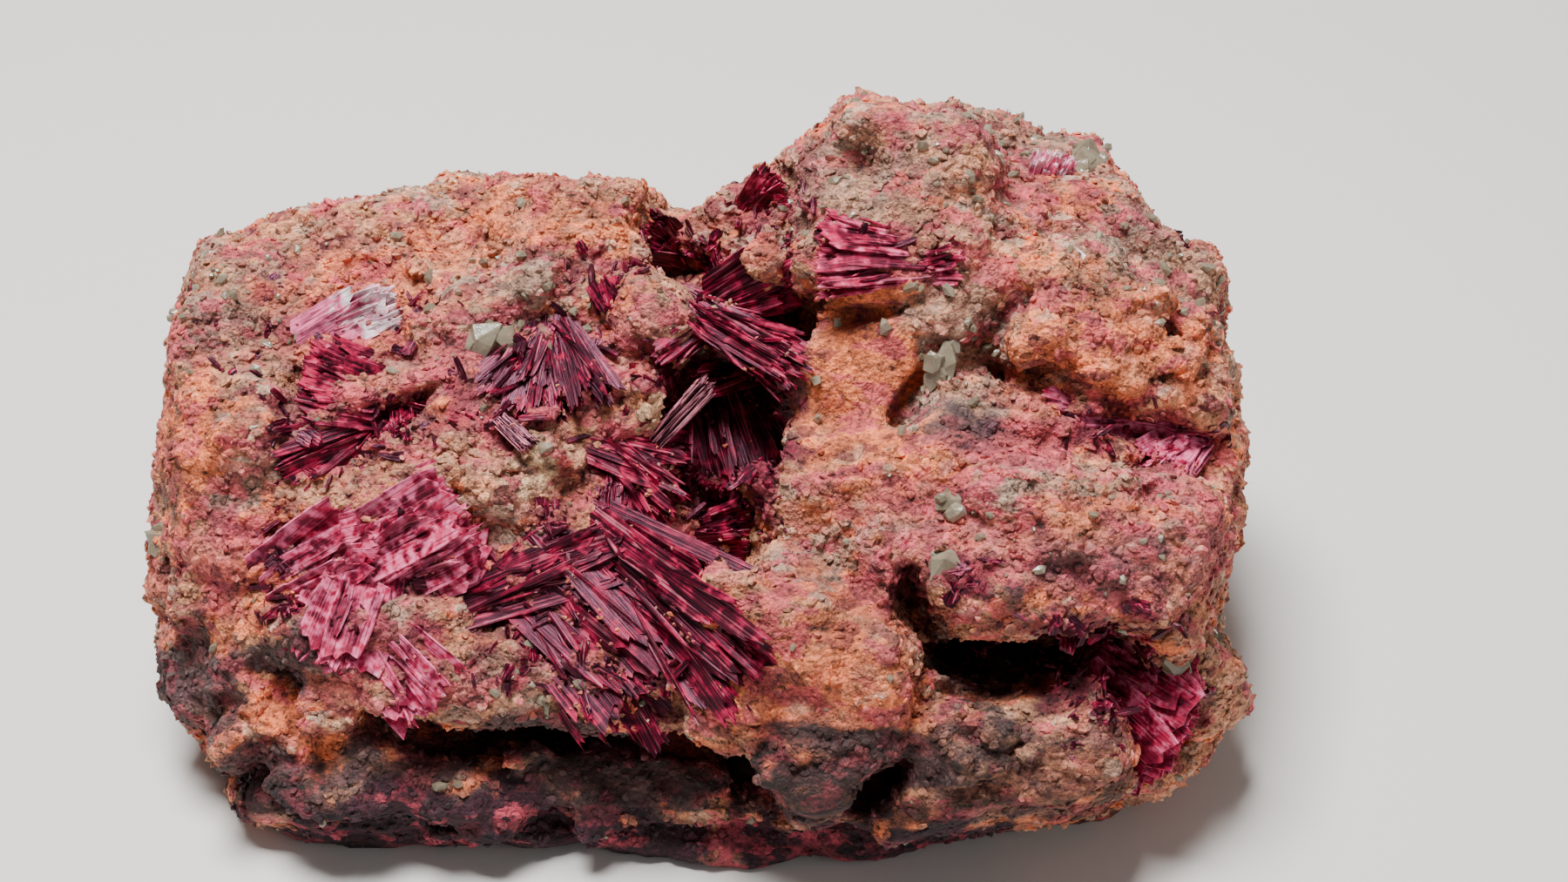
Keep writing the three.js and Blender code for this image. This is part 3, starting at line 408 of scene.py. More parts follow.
SMOOTH_GROUND = ((11.7, 8, 4.6, 6.2, 1), (8, -13, 7, 6, 0.55))  # ground with few crumbs


def patch_strength(a, b, fray, patches):
    strength = np.zeros(len(a))
    for centre_a, centre_b, half_a, half_b, most in patches:
        reach = np.hypot((a - centre_a) / half_a, (b - centre_b) / half_b)
        share = np.clip((STAIN_EDGE - reach + fray) / STAIN_SOFTNESS, 0, 1)
        strength = np.maximum(strength, most * share)
    return strength


def stains(points):
    """Strength of each stain at points of the block, and how crumbly the ground is there."""
    face = to_face(points)
    a, b = (face[:, n] + unevenness(STAIN_WANDER, points, n) for n in range(2))
    fray = unevenness(STAIN_FRAY, points)
    on_face = np.clip((face[:, 2] - FACE_FADE[0]) / FACE_FADE[1], 0, 1)
    found = {}
    for seed, (name, patches) in enumerate(STAINS.items(), AROUND_SEED):
        size, threshold = STAINS_AROUND[name]
        around = noise(points, size, seed) + fray - threshold
        around = np.clip(around * AROUND_GAIN, 0, AROUND_MOST)
        found[name] = patch_strength(a, b, fray, patches) * on_face + around * (1 - on_face)
    found["crumbly"] = 1 - patch_strength(a, b, 0 * a, SMOOTH_GROUND) * on_face
    return found


# ---- Mesh of the matrix ----

GRID_LOW, GRID_HIGH = (-45, -24, -3), (45, 36, 51)  # box round the block
GRID_RATIO = 3  # each grid is this many times finer than the one before
GRID_LEVELS = 2
GRID_REACH = 1.1  # distance, in cells, within which a grid is refined
GRID_OUTSIDE = 3.0  # distance given to cells that aren't stored
CRUMB_LAYERS = ((1.3, 3.6, 81), (0.8, 1.7, 85), (0.36, 0.8, 89))  # height, size, seed of the relief
CRUMB_RIM = 0.45  # how far from its seed a crumb falls to the ground, squared
CRUMB_LEAST, CRUMB_MORE = 0.7, 0.6  # lowest crumb of a layer, and how much higher some stand
SMOOTH_RELIEF = 0.3  # share of the relief that smooth ground keeps
LINEATION = 0.7  # the crumbs are drawn out along the block by one over this
BEDDING = (0.7, 1.3, 91)  # height, size and seed of the thin layers near the foot
BEDDING_DRAWN = (0.1, 0.35, 1.0)  # draws them out along the block
BEDDING_TOP, BEDDING_FADE = 12, 3  # height at which they end, and the length they end over
BEDDING_CRUMBS = 0.45  # share of the crumbs that they take away
FLAT_SNAP = 0.06
STAND_OUT = (1.6, 1.2, 1.2)  # how far the relief may stand out of the solids' box, on each axis
FREE_BELOW = 9  # the floor doesn't hold the relief back
ENCLOSURE_REACH = 3.5  # distance at which hollows are felt for


def crumb_relief(points):
    """How far the crumbs stand out, in millimetres, and how deep between crumbs a point lies."""
    crumbly = SMOOTH_RELIEF + (1 - SMOOTH_RELIEF) * stains(points)["crumbly"]
    bedded = np.clip((BEDDING_TOP - points[:, 2]) / BEDDING_FADE, 0, 1)
    crumbly, gap = crumbly * (1 - BEDDING_CRUMBS * bedded), 0
    height = BEDDING[0] * bedded * noise(points * BEDDING_DRAWN, *BEDDING[1:])
    for layer_height, size, seed in CRUMB_LAYERS:
        nearest, number = grains(points * (LINEATION, 1, 1), size, seed)
        standing = layer_height * (CRUMB_LEAST + CRUMB_MORE * number)
        height = height + crumbly * (standing * (CRUMB_RIM - nearest * nearest))
        gap = gap + np.clip(nearest * 2 - 0.9, 0, 1) / len(CRUMB_LAYERS)
    return height, gap


def room(points, below=0):
    """How far points of the block lie inside the solids' box, grown by what may stand out of it."""
    low, high = (np.array(corner) / MM + ORIGIN for corner in CAD_BOX)
    return np.minimum(points - low + (*STAND_OUT[:2], below), high + STAND_OUT - points).min(1)


def relieved_distance(points):
    """The matrix's distance with its crumbs standing out of it."""
    relief = crumb_relief(points)[0] * np.clip(room(points, FREE_BELOW) / STAND_OUT[2], 0, 1)
    return np.maximum(matrix_distance(points) - relief, -points[:, 2])


def enclosure(points, normals):
    """From 0 on open ground to 1 deep in a hollow."""
    return np.clip(1 - matrix_distance(points + ENCLOSURE_REACH * normals) / ENCLOSURE_REACH, 0, 1)


def in_parts(function, points, size=40000):
    with ThreadPoolExecutor(4) as pool:
        parts = np.array_split(points, len(points) // size + 1)
        return np.concatenate(list(pool.map(function, parts)))


def distance_grid(voxel):
    """Distances on a grid of cells of the given size, exact near the surface."""
    cell = voxel * GRID_RATIO ** GRID_LEVELS
    low = np.array(GRID_LOW, float)
    shape = np.ceil((np.array(GRID_HIGH) - low) / cell).astype(int) + 1
    places = np.argwhere(np.ones(shape, bool))
    grid = in_parts(relieved_distance, low + places * cell).reshape(shape)
    for _ in range(GRID_LEVELS):
        near = np.abs(grid) < GRID_REACH * cell
        for axis in range(3):
            grid = np.repeat(grid, GRID_RATIO, axis)
            near = np.repeat(near, GRID_RATIO, axis)
        low = low - cell / GRID_RATIO * (GRID_RATIO // 2)
        cell /= GRID_RATIO
        places = np.argwhere(near)
        grid[near] = in_parts(relieved_distance, low + places * cell)
    return grid, low


def largest_shell(count, triangles):
    """Which triangles belong to the shell with the most of them."""
    label = np.arange(count)
    while True:
        least = label[triangles].min(1)
        fresh = label.copy()
        for corner in range(3):
            np.minimum.at(fresh, triangles[:, corner], least)
        fresh = fresh[fresh]
        if (fresh == label).all():
            break
        label = fresh
    shell = label[triangles[:, 0]]
    return shell == np.bincount(shell).argmax()


def triangle_mesh(name, vertices, triangles):
    mesh = bpy.data.meshes.new(name)
    mesh.vertices.add(len(vertices))
    mesh.vertices.foreach_set("co", vertices.astype(np.float32).ravel())
    mesh.loops.add(triangles.size)
    mesh.loops.foreach_set("vertex_index", triangles.astype(np.int32).ravel())
    mesh.polygons.add(len(triangles))
    mesh.polygons.foreach_set("loop_start", np.arange(0, triangles.size, 3, dtype=np.int32))
    mesh.update(calc_edges=True)
    return mesh


def matrix_mesh(voxel, most_triangles):
    values, low = distance_grid(voxel)
    grid = openvdb.FloatGrid(background=GRID_OUTSIDE)
    grid.copyFromArray(values.astype(np.float32))
    points, triangles, quads = grid.convertToPolygons(isovalue=0.0, adaptivity=0.0)
    halves = [quads[:, [0, 1, 2]], quads[:, [0, 2, 3]]]
    triangles = np.concatenate([triangles.reshape(-1, 3), *halves]).astype(np.int64)
    triangles = triangles[largest_shell(len(points), triangles)]
    used, triangles = np.unique(triangles, return_inverse=True)
    vertices = (points[used] * voxel + low - ORIGIN) * MM
    mesh = triangle_mesh("matrix", vertices, triangles.reshape(-1, 3))
    carrier = carrier_of(mesh)
    carrier.modifiers.new("thin", "DECIMATE").ratio = min(most_triangles / len(mesh.polygons), 1)
    thinned = baked(carrier)
    for vertex in thinned.vertices:
        if vertex.co.z < FLAT_SNAP * MM:
            vertex.co.z = 0
    return thinned


def carrier_of(mesh):
    carrier = bpy.data.objects.new("carrier", mesh)
    bpy.context.collection.objects.link(carrier)
    return carrier


def baked(carrier):
    """The carrier's mesh with its modifiers applied. The carrier is removed."""
    graph = bpy.context.evaluated_depsgraph_get()
    mesh = bpy.data.meshes.new_from_object(
        carrier.evaluated_get(graph), preserve_all_data_layers=True, depsgraph=graph
    )
    carrier.modifiers.clear()
    bpy.data.objects.remove(carrier)
    return mesh


def vertex_array(mesh, data="vertices", value="co"):
    """Places of a mesh's vertices, or another vector that each of them has."""
    flat = np.empty(len(mesh.vertices) * 3, np.float32)
    getattr(mesh, data).foreach_get(value, flat)
    return flat.reshape(-1, 3).astype(float)


def note(mesh, **values):
    """Stores each array on the mesh's vertices, as an attribute of its name."""
    for name, array in values.items():
        layer = mesh.attributes.new(name, "FLOAT", "POINT")
        layer.data.foreach_set("value", array.astype(np.float32))


# ---- Node trees ----

MIX_FACTOR, MIX_A, MIX_B, MIX_COLOUR = 0, 6, 7, 2  # colour sockets of a Mix node
RANDOM_LOW, RANDOM_HIGH, RANDOM_SEED, RANDOM_FLOAT = 2, 3, 8, 1  # of a Random Value node


class Link:
    """An output in a node tree. Sums with numbers and other links add Math nodes."""

    def __init__(self, tree, socket=None):
        self.tree = tree
        self.socket = socket

    def node(self, kind, settings=None, inputs=None, output=0):
        """Adds a node with its settings made first, then its sockets set or linked."""
        node = self.tree.nodes.new(kind)
        for name, value in (settings or {}).items():
            setattr(node, name, value)
        for name, value in (inputs or {}).items():
            if isinstance(value, Link):
                self.tree.links.new(value.socket, node.inputs[name])
            else:
                node.inputs[name].default_value = value
        return Link(self.tree, node.outputs[output]) if node.outputs else node

    def math(self, operation, *values, clamp=False):
        settings = {"operation": operation, "use_clamp": clamp}
        return self.node("ShaderNodeMath", settings, dict(enumerate(values)))

    def __add__(self, other):
        return self.math("ADD", self, other)

    def __sub__(self, other):
        return self.math("SUBTRACT", self, other)

    def __rsub__(self, other):
        return self.math("SUBTRACT", other, self)

    def __mul__(self, other):
        return self.math("MULTIPLY", self, other)

    def __truediv__(self, other):
        return self.math("DIVIDE", self, other)

    def __pow__(self, other):
        return self.math("POWER", self, other)

    __radd__ = __add__
    __rmul__ = __mul__

    def clamped(self):
        return self.math("ADD", self, 0.0, clamp=True)

    def above(self, level, softness):
        return self.math("DIVIDE", self - level, softness, clamp=True)

    def mixed(self, first, second):
        """From the first colour to the second as this link goes from 0 to 1."""
        first, second = (c if isinstance(c, Link) else (*c, 1) for c in (first, second))
        inputs = {MIX_FACTOR: self, MIX_A: first, MIX_B: second}
        return self.node("ShaderNodeMix", {"data_type": "RGBA"}, inputs, MIX_COLOUR)

    def scaled(self, factor):
        """This colour or vector, a number of times."""
        inputs = {0: self, "Scale": factor}
        return self.node("ShaderNodeVectorMath", {"operation": "SCALE"}, inputs)

    def channel(self, n=0):
        """One number out of a colour."""
        return self.node("ShaderNodeSeparateColor", inputs={0: self}, output=n)


def linear(colour):
    """A colour written as #rrggbb, as the numbers that a shader takes."""
    shares = (int(colour[n:n + 2], 16) / 255 for n in (1, 3, 5))
    return tuple(s / 12.92 if s < 0.04045 else ((s + 0.055) / 1.055) ** 2.4 for s in shares)


def growth_tree(name, inputs):
    """An empty Geometry Nodes tree, a link to work from and links to its named inputs."""
    tree = bpy.data.node_groups.new(name, "GeometryNodeTree")
    tree.interface.new_socket("Geometry", in_out="INPUT", socket_type="NodeSocketGeometry")
    for title, kind in inputs.items():
        tree.interface.new_socket(title, in_out="INPUT", socket_type="NodeSocket" + kind)
    tree.interface.new_socket("Geometry", in_out="OUTPUT", socket_type="NodeSocketGeometry")
    group = tree.nodes.new("NodeGroupInput")
    return Link(tree), {socket.name: Link(tree, socket) for socket in group.outputs if socket.name}


def random_float(link, low, high, seed):
    inputs = {RANDOM_LOW: low, RANDOM_HIGH: high, RANDOM_SEED: seed}
    return link.node("FunctionNodeRandomValue", {"data_type": "FLOAT"}, inputs, RANDOM_FLOAT)


def combined(link, x, y, z):
    return link.node("ShaderNodeCombineXYZ", inputs={0: x, 1: y, 2: z})


def marked(link, points, name, value):
    return link.node(
        "GeometryNodeStoreNamedAttribute", {"data_type": "FLOAT", "domain": "POINT"},
        {"Geometry": points, "Name": name, "Value": value},
    )


TINT_SEED, SIZE_SEED, TILT_SEEDS, SPIN_SEED = 5, 6, (7, 8), 9


def end_growth(link, points, shape, turn, size, breadth, material):
    """Puts the shape on each point, makes the result real and gives it its material."""
    points = marked(link, points, "breadth", breadth)
    points = marked(link, points, "tint", random_float(link, 0, 1, TINT_SEED))
    grown = link.node(
        "GeometryNodeInstanceOnPoints",
        inputs={"Points": points, "Instance": shape, "Rotation": turn, "Scale": size},
    )
    real = link.node("GeometryNodeRealizeInstances", inputs={"Geometry": grown})
    dressed = link.node("GeometryNodeSetMaterial", inputs={"Geometry": real, "Material": material})
    link.node("NodeGroupOutput", inputs={"Geometry": dressed})
    return link.tree


def shape_in(link, given):
    return link.node("GeometryNodeObjectInfo", inputs={"Object": given}, output="Geometry")


def turned_by(link, angles):
    return link.node("FunctionNodeEulerToRotation", inputs={0: angles})


def scatter_tree():
    """Grains strewn over a surface, more of them where an attribute of it is high."""
    link, given = growth_tree("strewn grains", {
        "Density": "Float", "Where": "String", "Least size": "Float", "Most size": "Float",
        "Stretch": "Vector", "Tumble": "Float", "Seed": "Int", "Grain": "Object",
        "Material": "Material",
    })
    where = link.node(
        "GeometryNodeInputNamedAttribute", {"data_type": "FLOAT"}, {"Name": given["Where"]}
    )
    points = link.node(
        "GeometryNodeDistributePointsOnFaces", {"distribute_method": "RANDOM"},
        {"Mesh": given["Geometry"], "Density": where * given["Density"], "Seed": given["Seed"]},
    )
    upright = Link(link.tree, points.socket.node.outputs["Rotation"])
    skewed = random_float(link, 0, 1, SIZE_SEED) ** 2
    size = given["Least size"] + skewed * (given["Most size"] - given["Least size"])
    scale = given["Stretch"].scaled(size)
    tilts = [random_float(link, -1, 1, seed) * given["Tumble"] for seed in TILT_SEEDS]
    angles = combined(link, *tilts, random_float(link, 0, math.tau, SPIN_SEED))
    turn = link.node("FunctionNodeRotateRotation", {"rotation_space": "LOCAL"}, {
        "Rotation": upright, "Rotate By": turned_by(link, angles),
    })
    shape = shape_in(link, given["Grain"])
    return end_growth(link, points, shape, turn, scale, size, given["Material"])


BURIED = 0.04  # how far a spray's roots are sunk, as a share of its length
ROOT_STRAY, STACK_STRAY = 0.35, 0.5  # how far they stray across and through, in laths
TURN_STRAY = (0.45, 0.12, 0.1)  # how far laths twist, tilt and stray, in radians
LEAST_BREADTH, LEAST_THICKNESS = 0.3, 0.5  # of a lath, as shares of the most
# Which of a lath's draws gives its place, its turns, whether it lies face down, and its size.
SLID, ROOTED, STACKED, TURNED, FACING, LONG, BROAD, THICK = 1, 2, 3, 11, 15, 21, 22, 23


def spray_tree():
    """Laths that fan out from a common root along X, with their broad sides towards Z."""
    link, given = growth_tree("lath spray", {
        "Laths": "Int", "Length": "Float", "Width": "Float", "Thickness": "Float",
        "Band": "Float", "Stack": "Float", "Fan": "Float", "Disorder": "Float",
        "Shortest": "Float", "Longest": "Float", "Seed": "Int", "Bloom": "Float",
        "Lath": "Object", "Material": "Material",
    })
    index = link.node("GeometryNodeInputIndex")

    def chance(low, high, draw):
        return random_float(link, low, high, given["Seed"] + draw)

    place = (index + 0.5) / given["Laths"] - 0.5
    share = chance(0, 1, LONG) * (given["Longest"] - given["Shortest"]) + given["Shortest"]
    position = combined(
        link,
        given["Length"] * (chance(0, 1, SLID) * (1 - share) - BURIED),
        place * given["Band"] + given["Width"] * chance(-ROOT_STRAY, ROOT_STRAY, ROOTED),
        given["Stack"] * chance(-STACK_STRAY, STACK_STRAY, STACKED),
    )
    points = link.node(
        "GeometryNodePoints", inputs={"Count": given["Laths"], "Position": position}
    )
    twist, tilt, stray = (
        chance(-most, most, draw) * given["Disorder"]
        for draw, most in enumerate(TURN_STRAY, TURNED)
    )
    over = link.math("GREATER_THAN", chance(0, 1, FACING), 0.5) * math.pi
    angles = combined(link, twist + over, tilt, place * given["Fan"] + stray)
    turn = turned_by(link, angles)
    breadth = given["Width"] * chance(LEAST_BREADTH, 1, BROAD)
    thickness = given["Thickness"] * chance(LEAST_THICKNESS, 1, THICK)
    size = combined(link, given["Length"] * share, breadth, thickness)
    shape = shape_in(link, given["Lath"])
    points = marked(link, points, "bloom", given["Bloom"])
    return end_growth(link, points, shape, turn, size, breadth, given["Material"])


def grown_mesh(mesh, tree, values):
    """What a tree grows on a mesh, with the tree's inputs set by name."""
    carrier = carrier_of(mesh)
    modifier = carrier.modifiers.new("growth", "NODES")
    modifier.node_group = tree
    for socket in tree.interface.items_tree:
        if socket.in_out == "INPUT" and socket.name in values:
            modifier[socket.identifier] = values[socket.name]
    return baked(carrier)


def shape_object(name, mesh):
    """A shape that trees repeat. It isn't linked to the scene, so it isn't shown itself."""
    return bpy.data.objects.new(name, mesh)


def dressed(mesh, finish):
    """The mesh with the finish as its one material."""
    mesh.materials.clear()
    mesh.materials.append(finish)
    mesh.polygons.foreach_set("material_index", np.zeros(len(mesh.polygons), np.int32))
    return mesh


def finished(name, mesh, slot, *nodes):
    """Puts a piece in the scene, riding on the specimen and standing for the named nodes."""
    piece = bpy.data.objects.new(name, mesh)
    bpy.context.collection.objects.link(piece)
    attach(piece, "root")
    if nodes:
        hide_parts(*nodes)
    return piece


# ---- Materials ----

def new_finish(name, **constants):
    """A material, a link to work from and its surface shader, whose constant sockets are set."""
    material = bpy.data.materials.new(name)
    material.use_nodes = True
    tree = material.node_tree
    shader = tree.nodes["Principled BSDF"]
    for socket, value in constants.items():
        shader.inputs[socket.replace("_", " ")].default_value = value
    return material, Link(tree), shader


def attribute(link, name):
    return link.node("ShaderNodeAttribute", {"attribute_name": name}, output="Fac")


def places(link):
    return link.node("ShaderNodeTexCoord", output="Object")


def noise_of(link, scale, detail=3, at=None):
    inputs = {"Vector": at or places(link), "Scale": scale, "Detail": detail}
    return link.node("ShaderNodeTexNoise", inputs=inputs)


def cells_of(link, scale, at):
    """A colour drawn at random for each cell of a pattern."""
    inputs = {"Vector": at, "Scale": scale}
    return link.node("ShaderNodeTexVoronoi", inputs=inputs, output="Color")


def drawn_out(link, scale):
    """Places drawn out along the block."""
    return link.node("ShaderNodeMapping", inputs={"Vector": places(link), "Scale": scale})


# Patches of the ground, over its first colour: how many to a metre, their colour, the level and
# softness of their edges, and how much they cover.
MOTTLES = (
    (170, "peach", 0.46, 0.06, 1), (250, "tan", 0.54, 0.05, 0.75),
    (210, "orange", 0.53, 0.05, 0.8), (190, "grey", 0.55, 0.05, 0.7),
)
# Grains of another colour: which of their lots picks them, from where on, and their colour.
ODD_GRAINS = ((0, 0.88, "cream"), (1, 0.86, "blush"))
ODD_SOFTNESS, ODD_COVER = 0.03, 0.5
STAIN_PATCHES, ROSY_PATCHES = 520, 330
ROSY_EDGE, ROSY_LEAST, ROSY_BARE = (0.56, 0.05), 0.25, 0.5
LOT_SHARE = 0.2  # how far a grain's own lot moves the edge of a patch
STAIN_GAIN, FRAY_GAIN, STAIN_LOT, STAIN_LEVEL = 1.7, 1.3, 0.14, 1.0
GRAINS = 1000.0  # grains of one colour, to a metre
WANDER_SCALE, GRAIN_WANDER = 1500.0, 0.0008  # how their edges wander
FINE_GRAIN, CHIPS, SPECKS, LAYERS = 2900, 2700.0, 6000.0, 900  # of light and dark
LINEATED = (0.7, 1.15, 1.15)  # draws the patches out along the block
BEDDED = (0.12, 0.8, 1.2)  # draws them out into thin layers
STAIN_COVER = {"plum": 1.0, "dark": 0.88, "umber": 1.0, "grey": 0.5, "orange": 0.92}
USUAL_COVER = 0.8  # of the ground, by the other stains
# Painted shade: hollows and the gaps between crumbs go towards the dark crumbs' colour, and the
# gaps lose light as well.
ENCLOSED_EDGE, ENCLOSED_SHADE = (0.45, 0.5), 0.4
FLECK_EDGE, FLECK_SHADE, GAP_SHADE = (0.1, -0.02), 0.65, 0.5
DARKEST, GAP_DARK, LAYER_DARK = 0.24, 0.75, 0.6  # taken from the light of the ground; GAP_DARK is painted shade between crumbs
SHADES = 97  # draws a crumb's shade from its lot


def grain_lots(link, drawn):
    """Three independent numbers from 0 to 1 for each grain of the rock, whose edges wander."""
    inputs = {"Vector": drawn, "Scale": WANDER_SCALE}
    wander = link.node("ShaderNodeTexNoise", inputs=inputs, output="Color")
    inputs = {0: wander, 1: (GRAIN_WANDER,) * 3, 2: drawn}
    warped = link.node("ShaderNodeVectorMath", {"operation": "MULTIPLY_ADD"}, inputs)
    cell = cells_of(link, GRAINS, warped)
    return [cell.channel(n) for n in range(3)]


def mottle(link, drawn, n, scale, lot):
    """Soft patches, number n of their kind, whose edges follow the grains' lot."""
    shift = {0: drawn, 1: (n, n, 1.0)}
    moved = link.node("ShaderNodeVectorMath", {"operation": "ADD"}, shift)
    return noise_of(link, scale, 5, moved) + (lot - 0.5) * LOT_SHARE


def rock_colour(link, lot, colours):
    """Matrix colour: mottling, grains of other kinds, stains, painted shade, light and dark."""
    drawn = drawn_out(link, LINEATED)
    kind, other, third = lots = grain_lots(link, drawn)
    colour = colours.salmon
    for n, (scale, name, level, softness, cover) in enumerate(MOTTLES):
        patches = mottle(link, drawn, n, scale, lots[n % 3])
        colour = (patches.above(level, softness) * cover).mixed(colour, getattr(colours, name))
    for n, level, name in ODD_GRAINS:
        share = lots[n].above(level, ODD_SOFTNESS) * ODD_COVER
        colour = share.mixed(colour, getattr(colours, name))
    frayed = mottle(link, drawn, 4, STAIN_PATCHES, other)
    for name in STAINS:
        share = attribute(link, name) * STAIN_GAIN + frayed * FRAY_GAIN
        share = share + (other - 0.5) * STAIN_LOT - STAIN_LEVEL
        cover = STAIN_COVER.get(name, USUAL_COVER)
        colour = (share.clamped() * cover).mixed(colour, getattr(colours, name))
    bare = (1.0 - attribute(link, "dark") - attribute(link, "umber")).clamped()
    rosy = mottle(link, drawn, 5, ROSY_PATCHES, third).above(*ROSY_EDGE)
    colour = (rosy * (ROSY_LEAST + bare * ROSY_BARE)).mixed(colour, colours.pink)
    # Painted shade in hollows and between crumbs, and the real dark crumbs, all mixed towards the
    # dark crumbs' colour.
    shaded = attribute(link, "enclosed").above(*ENCLOSED_EDGE) * ENCLOSED_SHADE
    gap = attribute(link, "gap")
    for share in (shaded, kind.above(*FLECK_EDGE) * FLECK_SHADE, gap * GAP_SHADE):
        colour = share.mixed(colour, colours.fleck_and_shade)
    grain = noise_of(link, FINE_GRAIN).above(0.35, 0.3)
    chip = cells_of(link, CHIPS, drawn).channel()
    speck = noise_of(link, SPECKS, 2).above(0.4, 0.2)
    drawn_lot = {"W": lot * SHADES}
    shade = link.node("ShaderNodeTexWhiteNoise", {"noise_dimensions": "1D"}, drawn_lot, "Color")
    lightness = grain * 0.5 + chip * 0.6 + shade.channel(2) * 0.55 + third * 0.35 + speck * 0.4
    # Painted shade: light is taken away between crumbs.
    lightness = (lightness - DARKEST) * (1 - gap * GAP_DARK)
    bedded = (attribute(link, "plum") + attribute(link, "umber")).clamped()
    layers = bedded * noise_of(link, LAYERS, at=drawn_out(link, BEDDED)).above(0.4, 0.2)
    return colour.scaled(lightness * (1 - layers * LAYER_DARK))


MATRIX_LOTS, MATRIX_PITS, CRUMB_PITS = 1900.0, 2600, 4200  # to a metre
MATRIX_ROUGH, CRUMB_ROUGH = (0.72, 0.3), (0.6, 0.35)  # least, and more with the height
MATRIX_BUMP, CRUMB_BUMP = (0.0005, 1.0), (0.0002, 0.8)  # metres and strength


def wire(link, shader, sockets):
    for name, value in sockets.items():
        link.tree.links.new(value.socket, shader.inputs[name])


def bumped(link, height, distance, strength):
    inputs = {"Height": height, "Distance": distance, "Strength": strength}
    return link.node("ShaderNodeBump", inputs=inputs)


def matrix_finish(colours):
    material, link, shader = new_finish("granular matrix")
    lot = cells_of(link, MATRIX_LOTS, places(link)).channel()
    height = noise_of(link, MATRIX_PITS, 6)
    least, more = MATRIX_ROUGH
    wire(link, shader, {
        "Base Color": rock_colour(link, lot, colours),
        "Roughness": least + height * more,
        "Normal": bumped(link, height, *MATRIX_BUMP),
    })
    return material


def crumb_finish(colours):
    material, link, shader = new_finish("crumbs")
    height = noise_of(link, CRUMB_PITS)
    least, more = CRUMB_ROUGH
    wire(link, shader, {
        "Base Color": rock_colour(link, attribute(link, "tint"), colours),
        "Roughness": least + height * more,
        "Normal": bumped(link, height, *CRUMB_BUMP),
    })
    return material


SHEEN = (1, 0.4, 0.6, 1)  # tint of the shine on erythrite
STRANDS = 6000  # strands side by side in a metre of a lath's breadth
STRAND_LENGTH, STRAND_SHIFTS = 1.6, (90, 40)  # each lath has strands of its own
FRAYS, CLOUDS = 1500, 760  # to a metre
# Level and softness from which strands let red through, edges are broken, the bloom is pink and
# then white, and strands carry painted glints or are dark.
LIT_EDGE, DUSTED_EDGE = (0.45, 0.1), (1.2, 0.45)
POWDERY_EDGE, FROSTED_EDGE = (1.6, 0.35), (2.45, 0.3)
GLINT_EDGE, DARK_EDGE = (0.6, 0.03), (0.35, 0.08)
STRAND_BUMP = (0.00015, 0.8)  # metres and strength


def erythrite_finish(colours):
    """Near black in the mass, crimson where thin, with a pink bloom on broken edges and tips."""
    material, link, shader = new_finish("erythrite", Roughness=0.4, IOR=1.5, Specular_Tint=SHEEN)
    along, across, tint, bloom, breadth = (
        attribute(link, n) for n in ("along", "across", "tint", "bloom", "breadth")
    )
    aside, apart = (tint * shift for shift in STRAND_SHIFTS)
    strands = combined(link, along * STRAND_LENGTH, across * breadth * STRANDS + aside, apart)
    striation = noise_of(link, 1.0, 4, strands)
    frayed, cloud = noise_of(link, FRAYS), noise_of(link, CLOUDS, 4).above(0.42, 0.16)
    rim = (across * across * 4) ** 3
    prism_glint = (bloom * -2.0).clamped()
    lit = striation.above(*LIT_EDGE) * (0.04 + tint * 0.35 + cloud * 0.45 + bloom * 1.2)
    broken = rim * 0.3 + along ** 4 * 0.35 + bloom * 0.9 + cloud * 0.35 + frayed * 1.3
    dusted = broken.above(*DUSTED_EDGE)
    powdery = bloom * 1.2 + frayed * 1.5 + cloud * 0.2 + rim * 0.3
    frosted = bloom * 1.5 + along * 0.8 + frayed
    # Painted glints: bright strands stand for light caught on the laths, more of them on the prism.
    painted_glint = (striation + prism_glint * 0.12).above(*GLINT_EDGE) * (0.2 + tint * 0.45 + prism_glint)
    colour = colours.maroon
    for share, name in (
        (lit.clamped(), "crimson"), (dusted, "magenta"), (powdery.above(*POWDERY_EDGE), "petal"),
        (frosted.above(*FROSTED_EDGE), "frost"), (painted_glint.clamped(), "lilac_glint"),
    ):
        colour = share.mixed(colour, getattr(colours, name))
    dark = striation.above(*DARK_EDGE) * (0.35 + cloud * 0.65)
    wire(link, shader, {
        "Base Color": colour.scaled(0.28 + dark * 0.85),
        "Roughness": 0.28 + dusted * 0.3 + striation * 0.15,
        "Normal": bumped(link, striation, *STRAND_BUMP),
    })
    return material


QUARTZ_CLOUDS, QUARTZ_PITS = 700, 1800  # to a metre
MILKY_EDGE, DULL_EDGE = (0.35, 0.4), (0.3, 0.5)
QUARTZ_BUMP = (0.0001, 0.6)


def quartz_finish(colours, name="quartz"):
    material, link, shader = new_finish(name, IOR=1.544, Transmission_Weight=0.5)
    cloud = noise_of(link, QUARTZ_CLOUDS)
    wire(link, shader, {
        "Base Color": cloud.above(*MILKY_EDGE).mixed(colours.quartz, colours.milk),
        "Roughness": 0.12 + cloud.above(*DULL_EDGE) * 0.4,
        "Normal": bumped(link, noise_of(link, QUARTZ_PITS), *QUARTZ_BUMP),
    })
    return material


# ---- Repeated shapes ----

UNEVENLY = 0.28  # how far a crumb's corners stray, as a share of its radius


def crumb_mesh(seed):
    """A faceted crumb about 1 across, of twenty faces."""
    draw = np.random.default_rng(seed)
    form = bmesh.new()
    bmesh.ops.create_icosphere(form, subdivisions=1, radius=0.5)
    for vertex in form.verts:
        vertex.co *= 1 + UNEVENLY * float(draw.uniform(-1, 1))
    return freed(form, bpy.data.meshes.new("crumb"))


